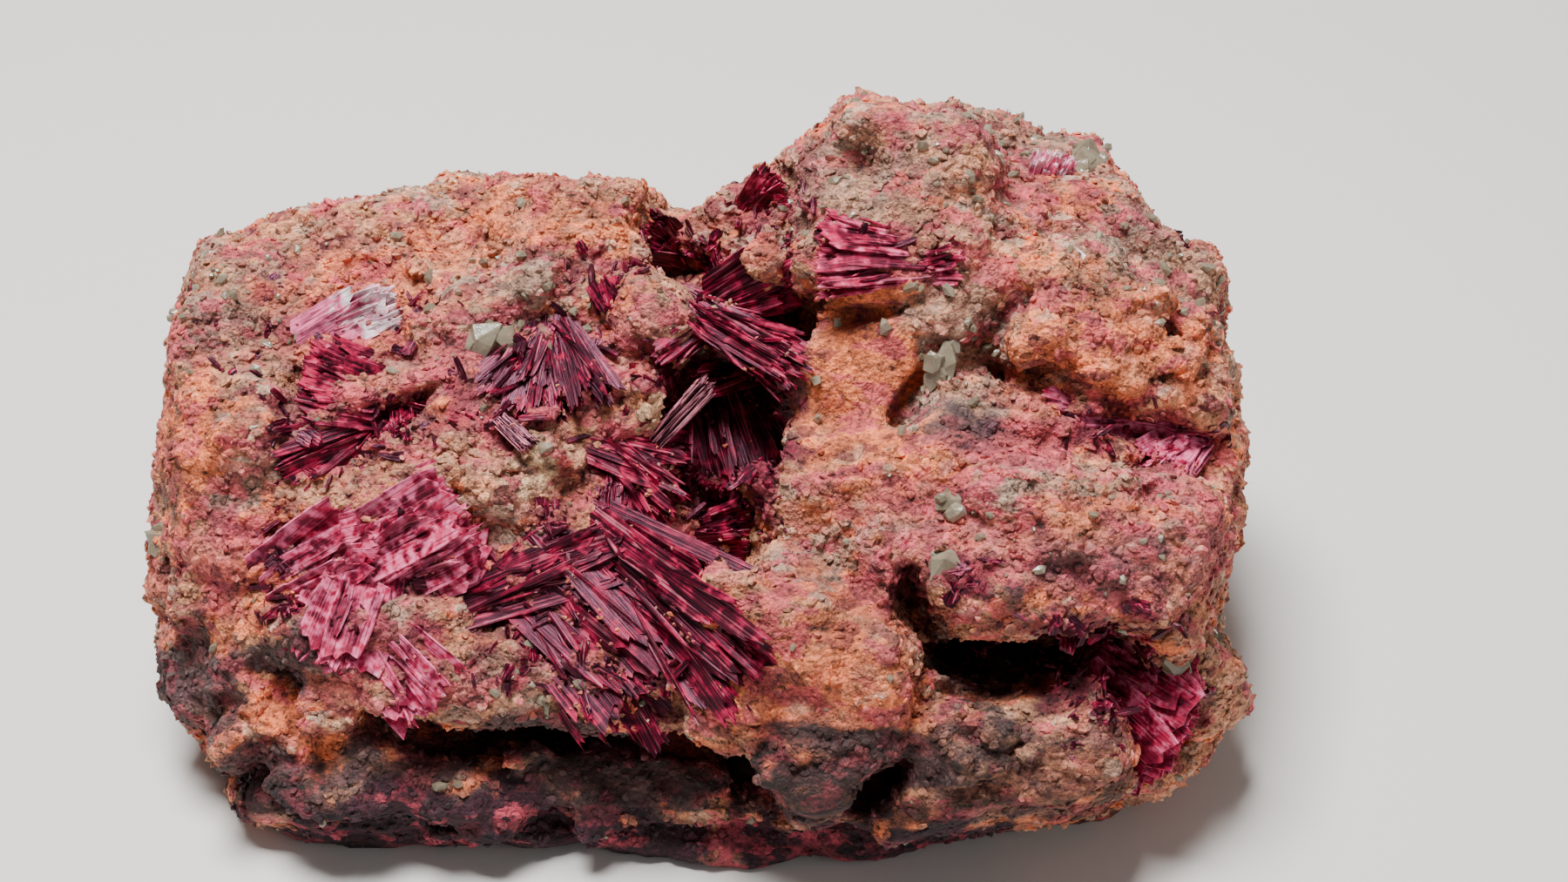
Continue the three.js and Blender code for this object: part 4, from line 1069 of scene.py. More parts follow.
LATH_SECTION = ((-0.5, 0), (-0.34, 0.5), (0.3, 0.5), (0.5, 0.06), (0.32, -0.5), (-0.36, -0.5))
LATH_STATIONS = ((0, 0.7), (0.45, 1), (0.86, 0.94))  # share of the length, share of the girth
LATH_TIP = (0.9, 1, 0.97, 1.04, 0.95, 0.92)  # how far each edge of the section runs
LATH_END = (0.62, 0.7)  # girth of the tip, across and through


def lath_mesh():
    """A flat lath from 0 to 1 along X, about 1 across and 1 thick, with an oblique broken tip."""
    vertices = [(x, y * g, z * g) for x, g in LATH_STATIONS for y, z in LATH_SECTION]
    across, through = LATH_END
    vertices += [(x, y * across, z * through) for x, (y, z) in zip(LATH_TIP, LATH_SECTION)]
    sides, last = len(LATH_SECTION), len(LATH_STATIONS) * len(LATH_SECTION)
    walls = [
        (low + n, low + sides + n, low + sides + (n + 1) % sides, low + (n + 1) % sides)
        for low in range(0, last, sides) for n in range(sides)
    ]
    ends = [range(sides), range(last + sides - 1, last - 1, -1)]
    return crystal_mesh("lath", vertices, walls + ends)


PLATE_OUTLINE = (
    (0, -0.3), (0.05, -0.5), (0.4, -0.47), (0.43, -0.5), (0.8, -0.46), (1, -0.38), (0.93, -0.1),
    (0.97, 0.02), (0.86, 0.22), (0.88, 0.34), (0.78, 0.5), (0.3, 0.46), (0.26, 0.5), (0.06, 0.44),
    (0, 0.2), (-0.04, 0),
)


def plate_mesh():
    """A cleavage plate from 0 to 1 along X, about 1 across and 1 thick, broken at its ends."""
    vertices = [(x, y, z) for z in (-0.5, 0.5) for x, y in PLATE_OUTLINE]
    sides = len(PLATE_OUTLINE)
    walls = [(n, (n + 1) % sides, sides + (n + 1) % sides, sides + n) for n in range(sides)]
    ends = [range(sides - 1, -1, -1), range(sides, 2 * sides)]
    return crystal_mesh("plate", vertices, walls + ends)


def crystal_mesh(name, vertices, faces):
    """A shape that knows how far along it and across it each point lies."""
    mesh = bpy.data.meshes.new(name)
    mesh.from_pydata(vertices, [], [tuple(face) for face in faces])
    corners = vertex_array(mesh)
    note(mesh, along=corners[:, 0], across=corners[:, 1])
    form = bmesh.new()
    form.from_mesh(mesh)
    bmesh.ops.recalc_face_normals(form, faces=form.faces)
    return freed(form, mesh)


def freed(form, mesh):
    """The mesh, filled with what the form holds. The form is given up."""
    form.to_mesh(mesh)
    form.free()
    return mesh


# ---- Crystals, in the face's frame ----

# Nodes of erythrite, the last three of them crusts that line a hollow: share of pink bloom, share
# of its length that a spray reaches, how much broader its plates are, and its sprays. A spray is
# its root, its tip, width and thickness of a blade, how many blades, and how they open: width of
# the band their roots stand in, degrees they fan out by, degrees they roll edge on.
ERYTHRITE = {
    "erythrite_pale_blade": (1.0, 0.8, 1.4, (
        ((-28.4, 9.6, -0.7), (-19.4, 13.7, -0.4), (1.5, 0.9), 3, (1.6, 8, 10)),
    )),
    "erythrite_left_block": (0.4, 1, 1.3, (
        ((-22.4, 6.6, 0.2), (-28.6, 8.6, 1.4), (1.9, 1.2), 3, (2, 24, 20)),
    )),
    "erythrite_left_blade": (0.25, 1, 1, (
        ((-21.6, 4.6, -0.8), (-30.6, 0.4, 3.4), (1.7, 0.9), 2, (1.2, 9, -25)),
        ((-21.5, 5.6, -0.6), (-20.7, 2.5, 3.9), (1.2, 1), 1, (0, 0, 0)),
        ((-21.6, 4.9, -0.4), (-16, 2.8, 3.9), (1.4, 0.9), 2, (0.8, 10, 15)),
    )),
    "erythrite_radial_spray": (0.06, 1, 1, (
        ((-10.9, 11.8, -1), (-12, 4.2, 3.2), (1.3, 0.8), 6, (1, 74, 10)),
    )),
    "erythrite_tuft": (0.25, 0.8, 1, (
        ((-5.6, 12.6, 0.4), (-5.9, 16, 0.2), (1.1, 0.7), 3, (0.8, 50, 0)),
    )),
    "erythrite_cross_blades": (0.25, 1, 1, (
        ((-1.6, 13.6, -0.6), (8.3, 7.2, 5.2), (1.5, 0.9), 3, (1.2, 7, -20)),
        ((0.9, 12, 0.9), (-3.6, 9.2, 2), (1.3, 0.8), 1, (1, 18, 15)),
        ((0, 12.6, 0), (8.6, 15.4, 1.4), (1.5, 0.8), 2, (1, 26, 20)),
    )),
    "erythrite_mid_blades": (0.25, 1, 1, (
        ((-9.6, 4.3, 1.2), (-0.6, 0.9, 0.2), (1.6, 0.9), 3, (1.4, 14, -15)),
        ((-8.2, 3.9, 1), (-1.6, -3, 1), (1.6, 0.9), 2, (1.4, 16, 20)),
        ((-6, 1.4, 0.6), (-6.4, -2.2, 2.4), (2, 0.7), 1, (0, 0, 0)),
    )),
    "erythrite_shards": (0.25, 1, 1, (
        ((-1, -4.2, -1.2), (4.4, -2.8, 1), (1.5, 0.8), 2, (1, 14, 20)),
        ((-0.8, -3.9, -1.2), (2, -6.8, 0.6), (1.3, 0.8), 2, (0.8, 20, 0)),
    )),
    "erythrite_central_spray": (0.12, 1, 1.2, (
        ((-14.6, -4.6, 2.4), (-3.2, -16, 5.6), (2.6, 1.1), 3, (5, 8, 0)),
        ((-17.4, -8.4, 3.6), (-4.6, -3.9, 3.6), (1.8, 1), 2, (1.6, 12, -20)),
        ((-8, -3.2, 1.8), (5.8, -13.6, 10.8), (2, 1), 3, (2, 16, 20)),
        ((-6.6, -12, 4.6), (-1.8, -19, 3.9), (1.4, 0.8), 1, (0.8, 14, 0)),
    )),
    "erythrite_left_plates": (0.68, 1, 1.5, (
        ((-25, -6.4, 2.6), (-15.6, -1.4, 5.6), (2.4, 1), 3, (3.6, 8, 0)),
        ((-30.2, -8.8, 2.4), (-22.4, -5.4, 4.2), (1.9, 1), 2, (2.4, 22, 10)),
        ((-28.4, -4.4, 2.4), (-21.8, -3.2, 4.6), (1.4, 0.8), 1, (1, 12, 0)),
        ((-23.4, -5.6, 3.7), (-26, -13.6, 5.6), (1.9, 1), 2, (2.4, 20, 0)),
        ((-24, -10, 4), (-18.2, -16.2, 5.6), (1.6, 0.8), 2, (1.4, 14, 10)),
    )),
    "erythrite_nest": (0.55, 1, 1.3, (
        ((17.2, 16.2, 4.8), (8.2, 16.5, 5.6), (1.5, 0.8), 3, (1.8, 26, 20)),
        ((15, 15.6, 4.8), (19.2, 16.4, 6.6), (1.2, 0.8), 1, (1, 24, 0)),
    )),
    "erythrite_notch": (0.5, 0.7, 1, (
        ((3.6, 20, -4.6), (8.2, 22.6, -0.6), (1.4, 0.8), 3, (1.6, 40, 15)),
    )),
    "erythrite_ridge_flake": (0.9, 1, 1, (
        ((25.9, 21.4, -3.6), (26.7, 24.4, -2.2), (1.5, 0.7), 2, (0.6, 20, 20)),
    )),
    "erythrite_right_crevice": (0.75, 1, 1, (
        ((30.6, 4.7, 2.6), (24, 5, 6.2), (1.2, 0.8), 1, (0.6, 12, 20)),
        ((29.4, 4.8, 2.6), (37, 3.7, 1.4), (1.4, 0.9), 3, (1, 16, 0)),
        ((36.4, 3.6, 0.6), (32, 0.2, 5.6), (1.5, 0.8), 2, (1.2, 26, 15)),
    )),
    "erythrite_right_plate": (0.6, 0.92, 2.0, (
        ((28.2, -13.8, 0.4), (36, -18.8, 4.6), (2.5, 1.2), 3, (3.2, 8, 10)),
    )),
    "vug_crust": (0.12, 1, 1, (
        ((0, 8.6, -5.4), (2.4, -2, -2.6), (2.4, 1), 2, (4, 10, 10)),
        ((6, 9.6, -6), (-1.6, 8.8, 0.4), (1.5, 0.8), 2, (2, 20, 20)),
        ((-1, 6, -5), (-5.6, 5.2, 1.4), (1.6, 0.9), 3, (2.4, 44, 0)),
        ((4.6, 5, -6), (6.6, 0.6, -2), (1.4, 0.8), 1, (1.2, 14, 20)),
    )),
    "hollow_crust": (0.1, 1, 1, (
        ((-0.6, 17, -8.4), (-4.2, 18.6, -4), (1.3, 0.8), 2, (1, 30, 0)),
        ((-0.6, 17, -8.4), (2.4, 16.6, -4.6), (1.3, 0.8), 1, (1, 24, 15)),
    )),
    "cave_crust": (0.05, 1, 1, (
        ((19, -13.4, -6), (16.4, -9.2, 2.4), (1.1, 0.7), 1, (0.8, 14, 0)),
        ((19.4, -14, -6), (18.6, -15.6, 3.2), (1.3, 0.7), 2, (1.6, 26, 15)),
        ((22, -13, -6), (20.4, -13.2, 1.4), (1, 0.7), 1, (0.8, 20, 0)),
        ((26.6, -12.8, -6), (25.4, -14.6, -1.4), (1.2, 0.7), 1, (1, 24, 0)),
    )),
}

# A dark striated prism that lies against a node's sprays; its bloom below nought paints silvery
# glints on it.
PRISM_BLOOM = -0.5
PRISMS = {
    "erythrite_mid_blades": ((-2.9, 3.2, 0.9), (1.1, 7.4, 2.6), (1.3, 1.3), 2, (0.7, 2, 10)),
    "erythrite_left_blade": ((-13.9, 4.6, 3), (-11.6, 2.6, 4.4), (1, 0.9), 2, (0.7, 4, 0)),
}

SPRAY_REACH = 1.03  # longest lath of a spray, from its root, as a share of the spray's length
BURIED_BAND, STACK = 0.4, 1.1  # how far roots stand apart across and through, in blades
PLATE_BREADTH = 1.3  # of a plate, in blades
NODE_SEEDS, PART_SEEDS = 100, 7  # steps from one node's or part's seed to the next

# Quartz: centre, radius, length and axis.
QUARTZ = {
    "quartz_pale": ((-15.4, 10.1, 0.2), 1.7, 4.4, (0.5, 0.8, 0.4)),
    "quartz_left_prism": ((-30.9, 3.1, 3.3), 0.9, 4.6, (-0.1, 0.95, 0.3)),
    "quartz_grey": ((17.4, -5.6, 9.9), 1.5, 3.4, (0.9, 0.1, 0.4)),
    "quartz_long_lump": ((17.6, -1.3, 9), 1.1, 3, (0.9, 0.2, 0.4)),
    "quartz_ridge": ((28.4, 24, -7.2), 1.8, 4.4, (0.4, 0.9, 0.2)),
    "quartz_right": ((34, -12.2, 4), 1.7, 4, (-0.4, 0.7, 0.6)),
    "quartz_right_edge": ((37.2, -11.7, 0.4), 1, 2.8, (0.6, 0.6, 0.5)),
    "quartz_left_chip": ((-39.8, -4.4, -4.4), 1.2, 3.2, (-0.8, 0.4, 0.3)),
    "quartz_crown": ((12, 26.4, 1), 1.5, 4, (-0.3, 0.9, 0.4)),
    "quartz_top": ((-13, 14.3, -0.7), 1.2, 3.2, (0.3, 0.9, 0.3)),
    "quartz_left_top": ((-36.2, 15.9, -4.8), 1.3, 3.4, (-0.5, 0.7, 0.4)),
    "quartz_slope": ((26.3, 15.8, 4.7), 1.4, 3.4, (0.7, 0.4, 0.5)),
    "quartz_valley": ((17.6, 8.4, 4.6), 1.3, 4.2, (0.2, 0.9, 0.4)),
}


def spray_frame(root, tip, roll):
    """Place and turn of a spray, in the scene: X along it, Z out of its broad side."""
    start, middle = Vector(root), Vector(tip) - Vector(root)
    middle.normalize()
    normal = (Vector((0, 0, 1)) - middle * middle.z).normalized()
    normal.rotate(Matrix.Rotation(math.radians(roll), 3, middle))
    side = normal.cross(middle)
    turn = np.array([middle, side, normal]) @ FACE_AXES
    frame_of_spray = Matrix(turn.T.tolist()).to_4x4()
    frame_of_spray.translation = Vector(to_scene(start))
    return frame_of_spray


def spray_mesh(tree, spray, makeup, bloom, seed, reach, finish):
    """A spray of laths. Its makeup is how many laths make a blade, how broad and thin they are as
    shares of its section, how long as shares of its length, how unruly, and their shape."""
    root, tip, (width, thick), count, (band, fan, roll) = spray
    laths, broad, thin, lengths, disorder, shape = makeup
    length = (Vector(tip) - Vector(root)).length
    mesh = grown_mesh(bpy.data.meshes.new("root"), tree, {
        "Laths": count * laths, "Length": length * reach * SPRAY_REACH * MM,
        "Width": width * broad * MM, "Thickness": thick * thin * MM,
        "Band": (band + BURIED_BAND * width) * MM, "Stack": thick * MM * STACK,
        "Fan": math.radians(fan), "Disorder": disorder, "Shortest": lengths[0],
        "Longest": lengths[1], "Seed": seed, "Bloom": bloom, "Lath": shape, "Material": finish,
    })
    mesh.transform(spray_frame(root, tip, roll))
    return mesh


def joined_mesh(name, meshes):
    form = bmesh.new()
    for mesh in meshes:
        form.from_mesh(mesh)
    return freed(form, bpy.data.meshes.new(name))


def grow_sprays(settings, finish):
    """Grows each node's sprays, of broad plates, thin laths and splinters, and any prism."""
    tree = spray_tree()
    plate, lath = shape_object("plate", plate_mesh()), shape_object("lath", lath_mesh())
    thin = settings.lath_thickness
    laths = (settings.laths_per_blade, 0.4, thin, (0.25, 0.7), 2, lath)
    splinters = (settings.splinters_per_blade, 0.35, thin, (0.12, 0.4), 4, lath)
    prism = (2 * settings.laths_per_blade, 0.3, 0.3, (0.8, 1), 0.1, lath)
    for number, (name, (bloom, reach, broader, sprays)) in enumerate(ERYTHRITE.items()):
        breadth = PLATE_BREADTH * broader
        thickness = settings.plate_thickness
        plates = (settings.plates_per_blade, breadth, thickness, (0.35, 0.95), 1.1, plate)
        makeups = (plates, laths, splinters)
        parts = [(spray, makeup, bloom) for spray in sprays for makeup in makeups]
        if name in PRISMS:
            parts.append((PRISMS[name], prism, PRISM_BLOOM))
        mesh = joined_mesh(name, [
            spray_mesh(tree, *part, NODE_SEEDS * number + PART_SEEDS * n, reach, finish)
            for n, part in enumerate(parts)
        ])
        finished(name + "_laths", dressed(mesh, finish), "erythrite", name)


def hull_mesh(points):
    form = bmesh.new()
    for point in points:
        form.verts.new(point)
    bmesh.ops.convex_hull(form, input=form.verts)
    bmesh.ops.delete(form, geom=[v for v in form.verts if not v.link_faces], context="VERTS")
    bmesh.ops.recalc_face_normals(form, faces=form.faces)
    return freed(form, bpy.data.meshes.new("hull"))


QUARTZ_PROFILE = ((0, -0.5), (1, -0.25), (1, 0.17), (0, 0.5))  # radius and height, as shares
QUARTZ_LUMPS = 6
LUMP_CORNERS, LUMP_SIZE, LUMP_STRETCH = 22, 0.62, (1, 0.8, 1.2)
LUMP_SPREAD, LUMP_RISE = 0.72, 0.4
PRISM_STRETCH, PRISM_WEAR = (0.85, 0.7, 0.8), 0.28


def quartz_mesh(name, centre, radius, length, axis, seed):
    """A stout, worn crystal with a few broken lumps against it."""
    draw = np.random.default_rng(seed)
    turn = np.array(Vector(axis).normalized().to_track_quat("Z", "Y").to_matrix())
    corners = [(math.cos(math.tau * n / 6), math.sin(math.tau * n / 6)) for n in range(6)]
    prism = np.array([
        (r * radius * x, r * radius * y, h * length) for r, h in QUARTZ_PROFILE for x, y in corners
    ])
    worn = draw.uniform(-PRISM_WEAR, PRISM_WEAR, prism.shape) * radius
    forms = [prism * PRISM_STRETCH + worn]
    for _ in range(QUARTZ_LUMPS):
        raw = draw.normal(size=(LUMP_CORNERS, 3))
        size = LUMP_SIZE * radius * draw.uniform(0.6, 1.25)
        raw *= size / np.linalg.norm(raw, axis=1)[:, None]
        place = draw.uniform(-1, 1, 3) * (radius, radius, length * LUMP_RISE) * LUMP_SPREAD
        forms.append(raw * LUMP_STRETCH + place)
    return joined_mesh(name, [hull_mesh(to_scene(form @ turn.T + centre)) for form in forms])


# ---- Settings ----

def setting(kind, name, description, default, **extra):
    return kind(name=name, description=description, default=default, **extra)


def number_setting(*texts, **extra):
    return setting(bpy.props.FloatProperty, *texts, **extra)


def count_setting(*texts):
    return setting(bpy.props.IntProperty, *texts, min=1)


def colour_setting(name, description, default):
    limits = {"subtype": "COLOR", "size": 3, "min": 0, "max": 1}
    return setting(bpy.props.FloatVectorProperty, name, description, linear(default), **limits)


class SPECIMEN_PG_colours(bpy.types.PropertyGroup):
    salmon: colour_setting("Salmon", "Main colour of the matrix", "#bf6956")
    peach: colour_setting("Peach", "Paler colour of the matrix", "#d68e66")
    tan: colour_setting("Tan", "Tan stains", "#c48c6c")
    grey: colour_setting("Grey", "Quartz-rich, greyish ground", "#9a8272")
    orange: colour_setting("Orange", "Iron stains", "#ef7c4a")
    pink: colour_setting("Pink", "Pink stains", "#bc4656")
    dark: colour_setting("Dark", "Dark ore", "#2f2c32")
    crimson: colour_setting("Crimson", "Erythrite, and the ground it stains", "#880e32")
    yellow: colour_setting("Yellow", "Yellowish crumbs", "#d8b088")
    # Umber and plum are stain colours darkened further, as partly painted shade at the foot.
    umber: colour_setting("Umber", "Brown stains", "#452b28")
    plum: colour_setting("Plum", "Dark purplish ground", "#361322")
    cream: colour_setting("Cream", "Pale crumbs", "#d8b29a")
    blush: colour_setting("Blush", "Rosy crumbs", "#c85a58")
    # Besides dark crumbs, this colour is the painted shade in hollows and between crumbs.
    fleck_and_shade: colour_setting("Fleck", "Dark crumbs", "#6e2a34")
    maroon: colour_setting("Maroon", "Erythrite in the mass", "#22010c")
    magenta: colour_setting("Magenta", "Broken edges of erythrite", "#b01c44")
    # Painted glints on the laths.
    lilac_glint: colour_setting("Lilac", "Bright strands of erythrite", "#c47a88")
    petal: colour_setting("Petal", "Bloom on erythrite", "#e06d92")
    frost: colour_setting("Frost", "Whitest bloom on erythrite", "#f6dfe4")
    quartz: colour_setting("Quartz", "Quartz, grey-green", "#94866e")
    milk: colour_setting("Milky quartz", "Clouded quartz", "#bcae96")


class SPECIMEN_PG_matrix(bpy.types.PropertyGroup):
    voxel: number_setting("Cell", "Cell that the matrix is meshed at, in millimetres", 0.3, min=0.2)
    triangles: count_setting("Triangles", "Most triangles of the matrix", 195000)


class SPECIMEN_PG_crumbs(bpy.types.PropertyGroup):
    density: number_setting("Density", "Crumbs on a square millimetre", 2.1, min=0)
    least: number_setting("Least size", "Smallest crumb", 0.00025, unit="LENGTH", precision=5)
    most: number_setting("Most size", "Largest crumb", 0.0011, unit="LENGTH", precision=5)
    quartz_density: number_setting("Quartz", "Quartz grains on a square millimetre", 0.42, min=0)
    druse_density: number_setting("Druse", "Small needles on a square millimetre", 1.9, min=0)
    flake_density: number_setting("Flakes", "Small plates on a square millimetre", 3.6, min=0)
    dust_density: number_setting("Dust", "Crumbs on a square millimetre of crystal", 3, min=0)


class SPECIMEN_PG_erythrite(bpy.types.PropertyGroup):
    plates_per_blade: count_setting("Plates", "Broad plates in one blade", 14)
    laths_per_blade: count_setting("Laths", "Thin laths in one blade", 18)
    splinters_per_blade: count_setting("Splinters", "Short laths askew on one blade", 6)
    plate_thickness: number_setting("Plate", "Its thickness, in blades", 0.22, subtype="FACTOR")
    lath_thickness: number_setting("Lath", "Its thickness, in blades", 0.3, subtype="FACTOR")


class SPECIMEN_PG_stage(bpy.types.PropertyGroup):
    floor: colour_setting("Floor", "Colour of the floor", "#d9d6d1")
    key: number_setting("Key light", "Power of the light above the specimen", 4.5, unit="POWER")
    fill: number_setting("Fill light", "Power of the light at the side", 0.5, unit="POWER")


SETTINGS = {
    "colours": SPECIMEN_PG_colours, "matrix": SPECIMEN_PG_matrix, "crumbs": SPECIMEN_PG_crumbs,
    "erythrite": SPECIMEN_PG_erythrite, "stage": SPECIMEN_PG_stage,
}


def settings_of(context, name):
    return getattr(context.scene, "specimen_" + name)


# ---- Operators ----

CAMERA_PLACE = (6.33, 3.07, 190)  # in the face's frame, looking square at it
CAMERA_LENS, SENSOR_WIDTH, NEAREST_SEEN = 60, 36, 0.01
FLOOR_HALF = 2.5
LIGHTS_TARGET = (0, 0, 0.02)
LIGHTS = {"key": ((-0.06, 0.02, 0.42), 0.16), "fill": ((0.4, -0.3, 0.2), 0.35)}  # place and size
WORLD_LIGHT = 0.16


def area_light(name, place, size, power):
    light = bpy.data.lights.new(name, "AREA")
    light.size, light.energy = size, power
    lamp = bpy.data.objects.new(name, light)
    bpy.context.collection.objects.link(lamp)
    lamp.location = place
    aim = Vector(LIGHTS_TARGET) - Vector(place)
    lamp.rotation_euler = aim.to_track_quat("-Z", "Y").to_euler()


class SPECIMEN_OT_stage(bpy.types.Operator):
    """Makes the camera, the floor and the lights"""

    bl_idname = "specimen.stage"
    bl_label = "Stage"

    def execute(self, context):
        settings = settings_of(context, "stage")
        camera = bpy.data.cameras.new("camera")
        camera.lens, camera.sensor_width = CAMERA_LENS, SENSOR_WIDTH
        camera.clip_start = NEAREST_SEEN
        holder = bpy.data.objects.new("camera", camera)
        context.collection.objects.link(holder)
        holder.matrix_world = Matrix(FACE_AXES.T.tolist()).to_4x4()
        holder.location = to_scene(CAMERA_PLACE)
        context.scene.camera = holder

        mesh = bpy.data.meshes.new("floor")
        low, high = -FLOOR_HALF, FLOOR_HALF
        corners = ((low, low, 0), (high, low, 0), (high, high, 0), (low, high, 0))
        mesh.from_pydata(corners, [], [(0, 1, 2, 3)])
        floor = bpy.data.objects.new("floor", mesh)
        context.collection.objects.link(floor)
        material, _, shader = new_finish("floor", Roughness=0.8)
        shader.inputs["Base Color"].default_value = (*settings.floor, 1)
        floor.data.materials.append(material)

        for name, (place, size) in LIGHTS.items():
            area_light(name, place, size, getattr(settings, name))
        world = bpy.data.worlds.new("studio")
        world.use_nodes = True
        background = world.node_tree.nodes["Background"]
        background.inputs["Color"].default_value = (1, 1, 1, 1)
        background.inputs["Strength"].default_value = WORLD_LIGHT
        context.scene.world = world
        return {"FINISHED"}


RAISED_FROM, RAISED_OVER = 1.1, 0.8  # room that strewn grains need inside the solids' box
FLAKES_FROM = 2.6  # height over the floor
CLUSTER_EDGE, CLUSTER_GAIN = 0.05, 5
STAINED_FROM = 0.2  # how crimson the ground is where needles and flakes begin
STRAY_QUARTZ = 0.05  # share of the quartz grains that lie off grey ground


def note_ground(mesh):
    """Stores the ground's stains, its hollows and where each kind of grain lies on it."""
    points = vertex_array(mesh) / MM + ORIGIN
    ground = stains(points)
    crumbly = ground.pop("crumbly")
    note(mesh, **ground)
    raised = np.clip((room(points) - RAISED_FROM) / RAISED_OVER, 0, 1)
    pale = np.clip(1 - ground["umber"] - ground["dark"], 0, 1)
    clusters = np.clip((noise(points, *FLAKE_CLUSTERS) - CLUSTER_EDGE) * CLUSTER_GAIN, 0, 1)
    flaky = np.clip(ground["crimson"] * crumbly - STAINED_FROM, 0, 1)
    flaky = flaky * np.clip(points[:, 2] - FLAKES_FROM, 0, 1)
    note(
        mesh,
        crumb_ground=raised * crumbly,
        quartz_ground=raised * (STRAY_QUARTZ + ground["grey"]) * pale,
        druse_ground=raised * np.clip(ground["crimson"] - STAINED_FROM, 0, 1),
        flake_ground=raised * flaky * clusters,
        # gap and enclosed feed the matrix's painted shade between crumbs and in hollows.
        gap=crumb_relief(points)[1],
        enclosed=enclosure(points, vertex_array(mesh, "vertex_normals", "vector")),
    )


class SPECIMEN_OT_matrix(bpy.types.Operator):
    """Makes the granular matrix"""

    bl_idname = "specimen.matrix"
    bl_label = "Matrix"

    def execute(self, context):
        settings = settings_of(context, "matrix")
        mesh = matrix_mesh(settings.voxel, settings.triangles)
        note_ground(mesh)
        mesh.materials.append(matrix_finish(settings_of(context, "colours")))
        finished("matrix_rock", mesh, "matrix", "matrix")
        return {"FINISHED"}


PER_SQUARE_METRE = 1e6  # for each on a square millimetre
# Pieces strewn over the matrix: slot, where they lie, the setting of their density and their share
# of it, how far they tumble, stretch and shape.
SOWINGS = {
    "crumbs_a": ("matrix", "crumb_ground", "density", 0.25, 0.7, (1.2, 0.9, 0.5), "crumb"),
    "crumbs_b": ("matrix", "crumb_ground", "density", 0.25, 0.9, (1.1, 0.8, 0.6), "crumb"),
    "crumbs_c": ("matrix", "crumb_ground", "density", 0.25, 0.6, (1.3, 1, 0.45), "crumb"),
    "crumbs_d": ("matrix", "crumb_ground", "density", 0.25, 1.2, (1.1, 0.7, 0.6), "crumb"),
    "quartz_grains": (
        "quartz", "quartz_ground", "quartz_density", 1, math.pi, (1.45, 0.95, 0.85), "crumb",
    ),
    "druse": ("erythrite", "druse_ground", "druse_density", 1, 0.5, (1.9, 0.5, 0.36), "needle"),
    "flakes": ("erythrite", "flake_ground", "flake_density", 1, 0.35, (1.6, 1.05, 0.3), "flake"),
}
DUST_SEED, DUST_STRETCH = 31, (1.1, 0.9, 0.6)
DUST_SIZE = 0.5  # its largest crumb, as a share of the matrix's
DUST_EDGE, DUST_GAIN, PINK_GAIN = 0.55, 8, 2
CRUMB_SEED, DUST_CRUMB_SEED = 3, 4


def strew(name, slot, ground, tree, settings, density, values):
    """Strews grains over the ground as one piece. The values are further inputs of the tree."""
    mesh = grown_mesh(ground, tree, {
        "Least size": settings.least, "Most size": settings.most,
        "Density": density * PER_SQUARE_METRE, **values,
    })
    finished(name, dressed(mesh, values["Material"]), slot)


class SPECIMEN_OT_crumbs(bpy.types.Operator):
    """Strews crumbs, quartz grains and small needles of erythrite over the matrix"""

    bl_idname = "specimen.crumbs"
    bl_label = "Crumbs"

    def execute(self, context):
        rock = bpy.data.objects.get("matrix_rock")
        if rock is None:
            raise RuntimeError("The matrix comes before its crumbs")
        settings, colours = settings_of(context, "crumbs"), settings_of(context, "colours")
        shapes = {"crumb": crumb_mesh(CRUMB_SEED), "needle": lath_mesh(), "flake": plate_mesh()}
        shapes = {name: shape_object(name, mesh) for name, mesh in shapes.items()}
        finishes = {
            "matrix": crumb_finish(colours), "quartz": quartz_finish(colours, "quartz grain"),
            "erythrite": erythrite_finish(colours),
        }
        tree = scatter_tree()
        for seed, (name, sowing) in enumerate(SOWINGS.items()):
            slot, where, setting_name, share, tumble, stretch, shape = sowing
            density = getattr(settings, setting_name) * share
            strew(name, slot, rock.data.copy(), tree, settings, density, {
                "Where": where, "Tumble": tumble, "Stretch": stretch, "Seed": seed,
                "Grain": shapes[shape], "Material": finishes[slot],
            })
        return {"FINISHED"}


class SPECIMEN_OT_erythrite(bpy.types.Operator):
    """Grows the sprays and crusts of erythrite"""

    bl_idname = "specimen.erythrite"
    bl_label = "Erythrite"

    def execute(self, context):
        finish = erythrite_finish(settings_of(context, "colours"))
        grow_sprays(settings_of(context, "erythrite"), finish)
        return {"FINISHED"}


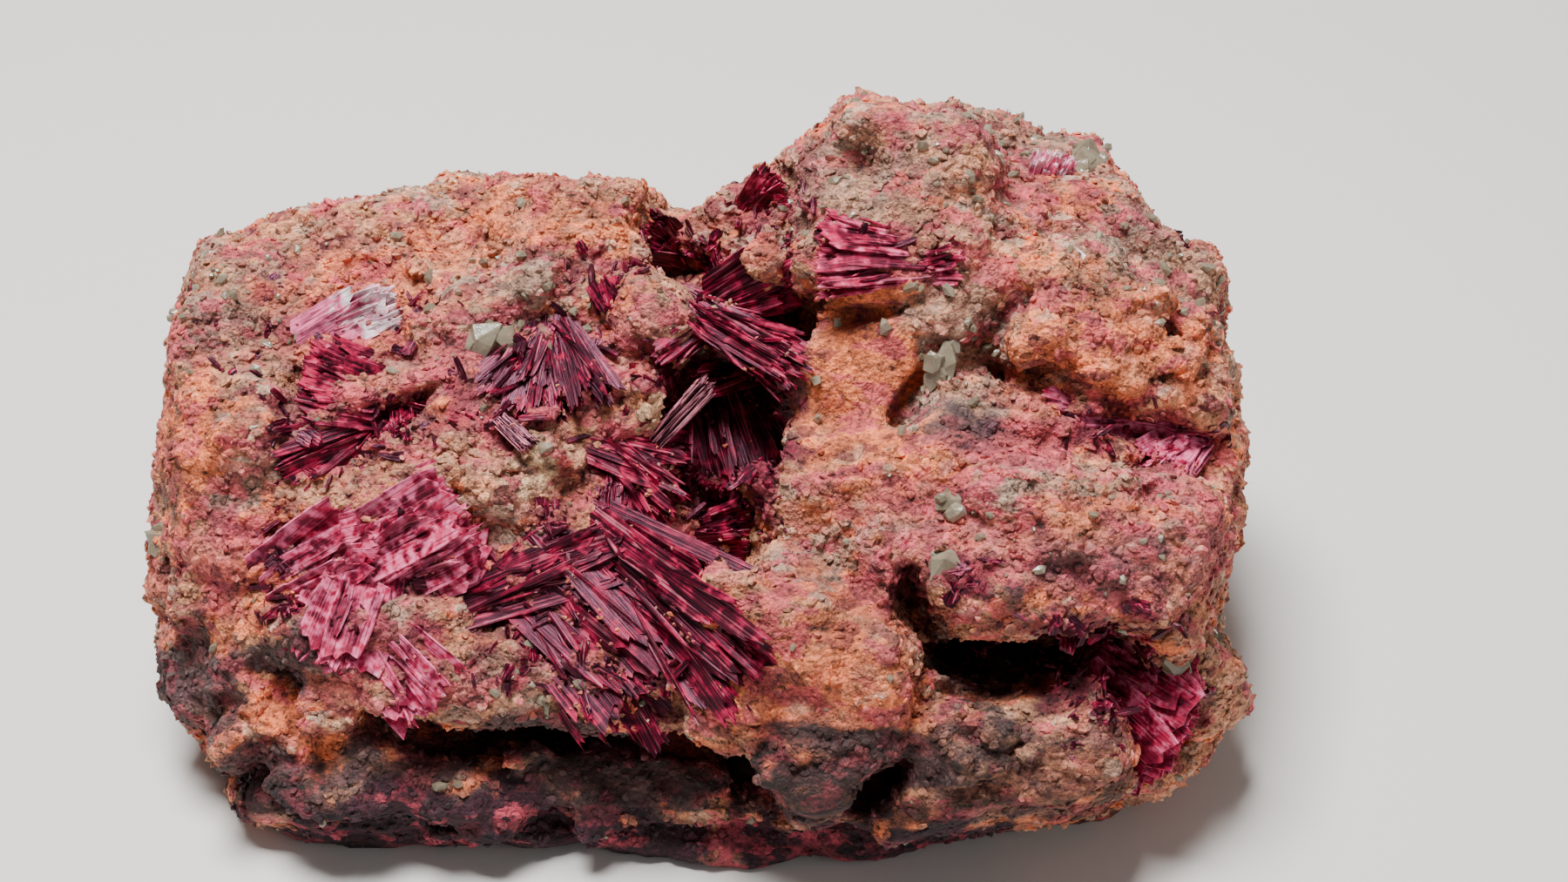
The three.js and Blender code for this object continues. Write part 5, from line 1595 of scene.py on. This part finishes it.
class SPECIMEN_OT_dust(bpy.types.Operator):
    """Strews crumbs of the matrix over the crystals"""

    bl_idname = "specimen.dust"
    bl_label = "Dust"

    def execute(self, context):
        sprays = [piece for piece in context.scene.objects if piece.name.endswith("_laths")]
        if not sprays:
            raise RuntimeError("The crystals come before the dust on them")
        settings = settings_of(context, "crumbs")
        ground = joined_mesh("ground", [piece.data for piece in sprays])
        points = vertex_array(ground) / MM + ORIGIN
        note(
            ground,
            dusty=np.clip((noise(points, *DUST_PATCHES) - DUST_EDGE) * DUST_GAIN, 0, 1),
            pink=np.clip(noise(points, *PINK_DUST) * PINK_GAIN, 0, 1),
            crimson=np.full(len(points), STAINED_DUST),
        )
        strew("dust", "matrix", ground, scatter_tree(), settings, settings.dust_density, {
            "Where": "dusty", "Tumble": math.pi, "Stretch": DUST_STRETCH, "Seed": DUST_SEED,
            "Most size": settings.most * DUST_SIZE,
            "Grain": shape_object("crumb", crumb_mesh(DUST_CRUMB_SEED)),
            "Material": crumb_finish(settings_of(context, "colours")),
        })
        return {"FINISHED"}


class SPECIMEN_OT_quartz(bpy.types.Operator):
    """Makes the quartz crystals"""

    bl_idname = "specimen.quartz"
    bl_label = "Quartz"

    def execute(self, context):
        finish = quartz_finish(settings_of(context, "colours"))
        for seed, (name, crystal) in enumerate(QUARTZ.items()):
            mesh = quartz_mesh(name, *crystal, seed)
            mesh.materials.append(finish)
            finished(name + "_crystal", mesh, "quartz", name)
        return {"FINISHED"}


class SPECIMEN_PT_panel(bpy.types.Panel):
    """Lists the specimen's pieces and their settings"""

    bl_idname = "SPECIMEN_PT_panel"
    bl_label = "Erythrite specimen"
    bl_space_type = "VIEW_3D"
    bl_region_type = "UI"
    bl_category = "Specimen"

    def draw(self, context):
        for operator in OPERATORS:
            self.layout.operator(operator.bl_idname)
        for name, group in SETTINGS.items():
            box = self.layout.box()
            box.label(text=name.capitalize())
            for field in group.__annotations__:
                box.prop(settings_of(context, name), field)


OPERATORS = (
    SPECIMEN_OT_stage, SPECIMEN_OT_matrix, SPECIMEN_OT_crumbs, SPECIMEN_OT_erythrite,
    SPECIMEN_OT_dust, SPECIMEN_OT_quartz,
)


def register():
    for part in (*SETTINGS.values(), *OPERATORS, SPECIMEN_PT_panel):
        bpy.utils.register_class(part)
    for name, group in SETTINGS.items():
        setattr(bpy.types.Scene, "specimen_" + name, bpy.props.PointerProperty(type=group))


def unregister():
    for name in SETTINGS:
        delattr(bpy.types.Scene, "specimen_" + name)
    for part in reversed((*SETTINGS.values(), *OPERATORS, SPECIMEN_PT_panel)):
        bpy.utils.unregister_class(part)


def main():
    register()
    bpy.ops.specimen.stage()
    bpy.ops.specimen.matrix()
    bpy.ops.specimen.crumbs()
    bpy.ops.specimen.erythrite()
    bpy.ops.specimen.dust()
    bpy.ops.specimen.quartz()


if __name__ == "__main__":
    main()
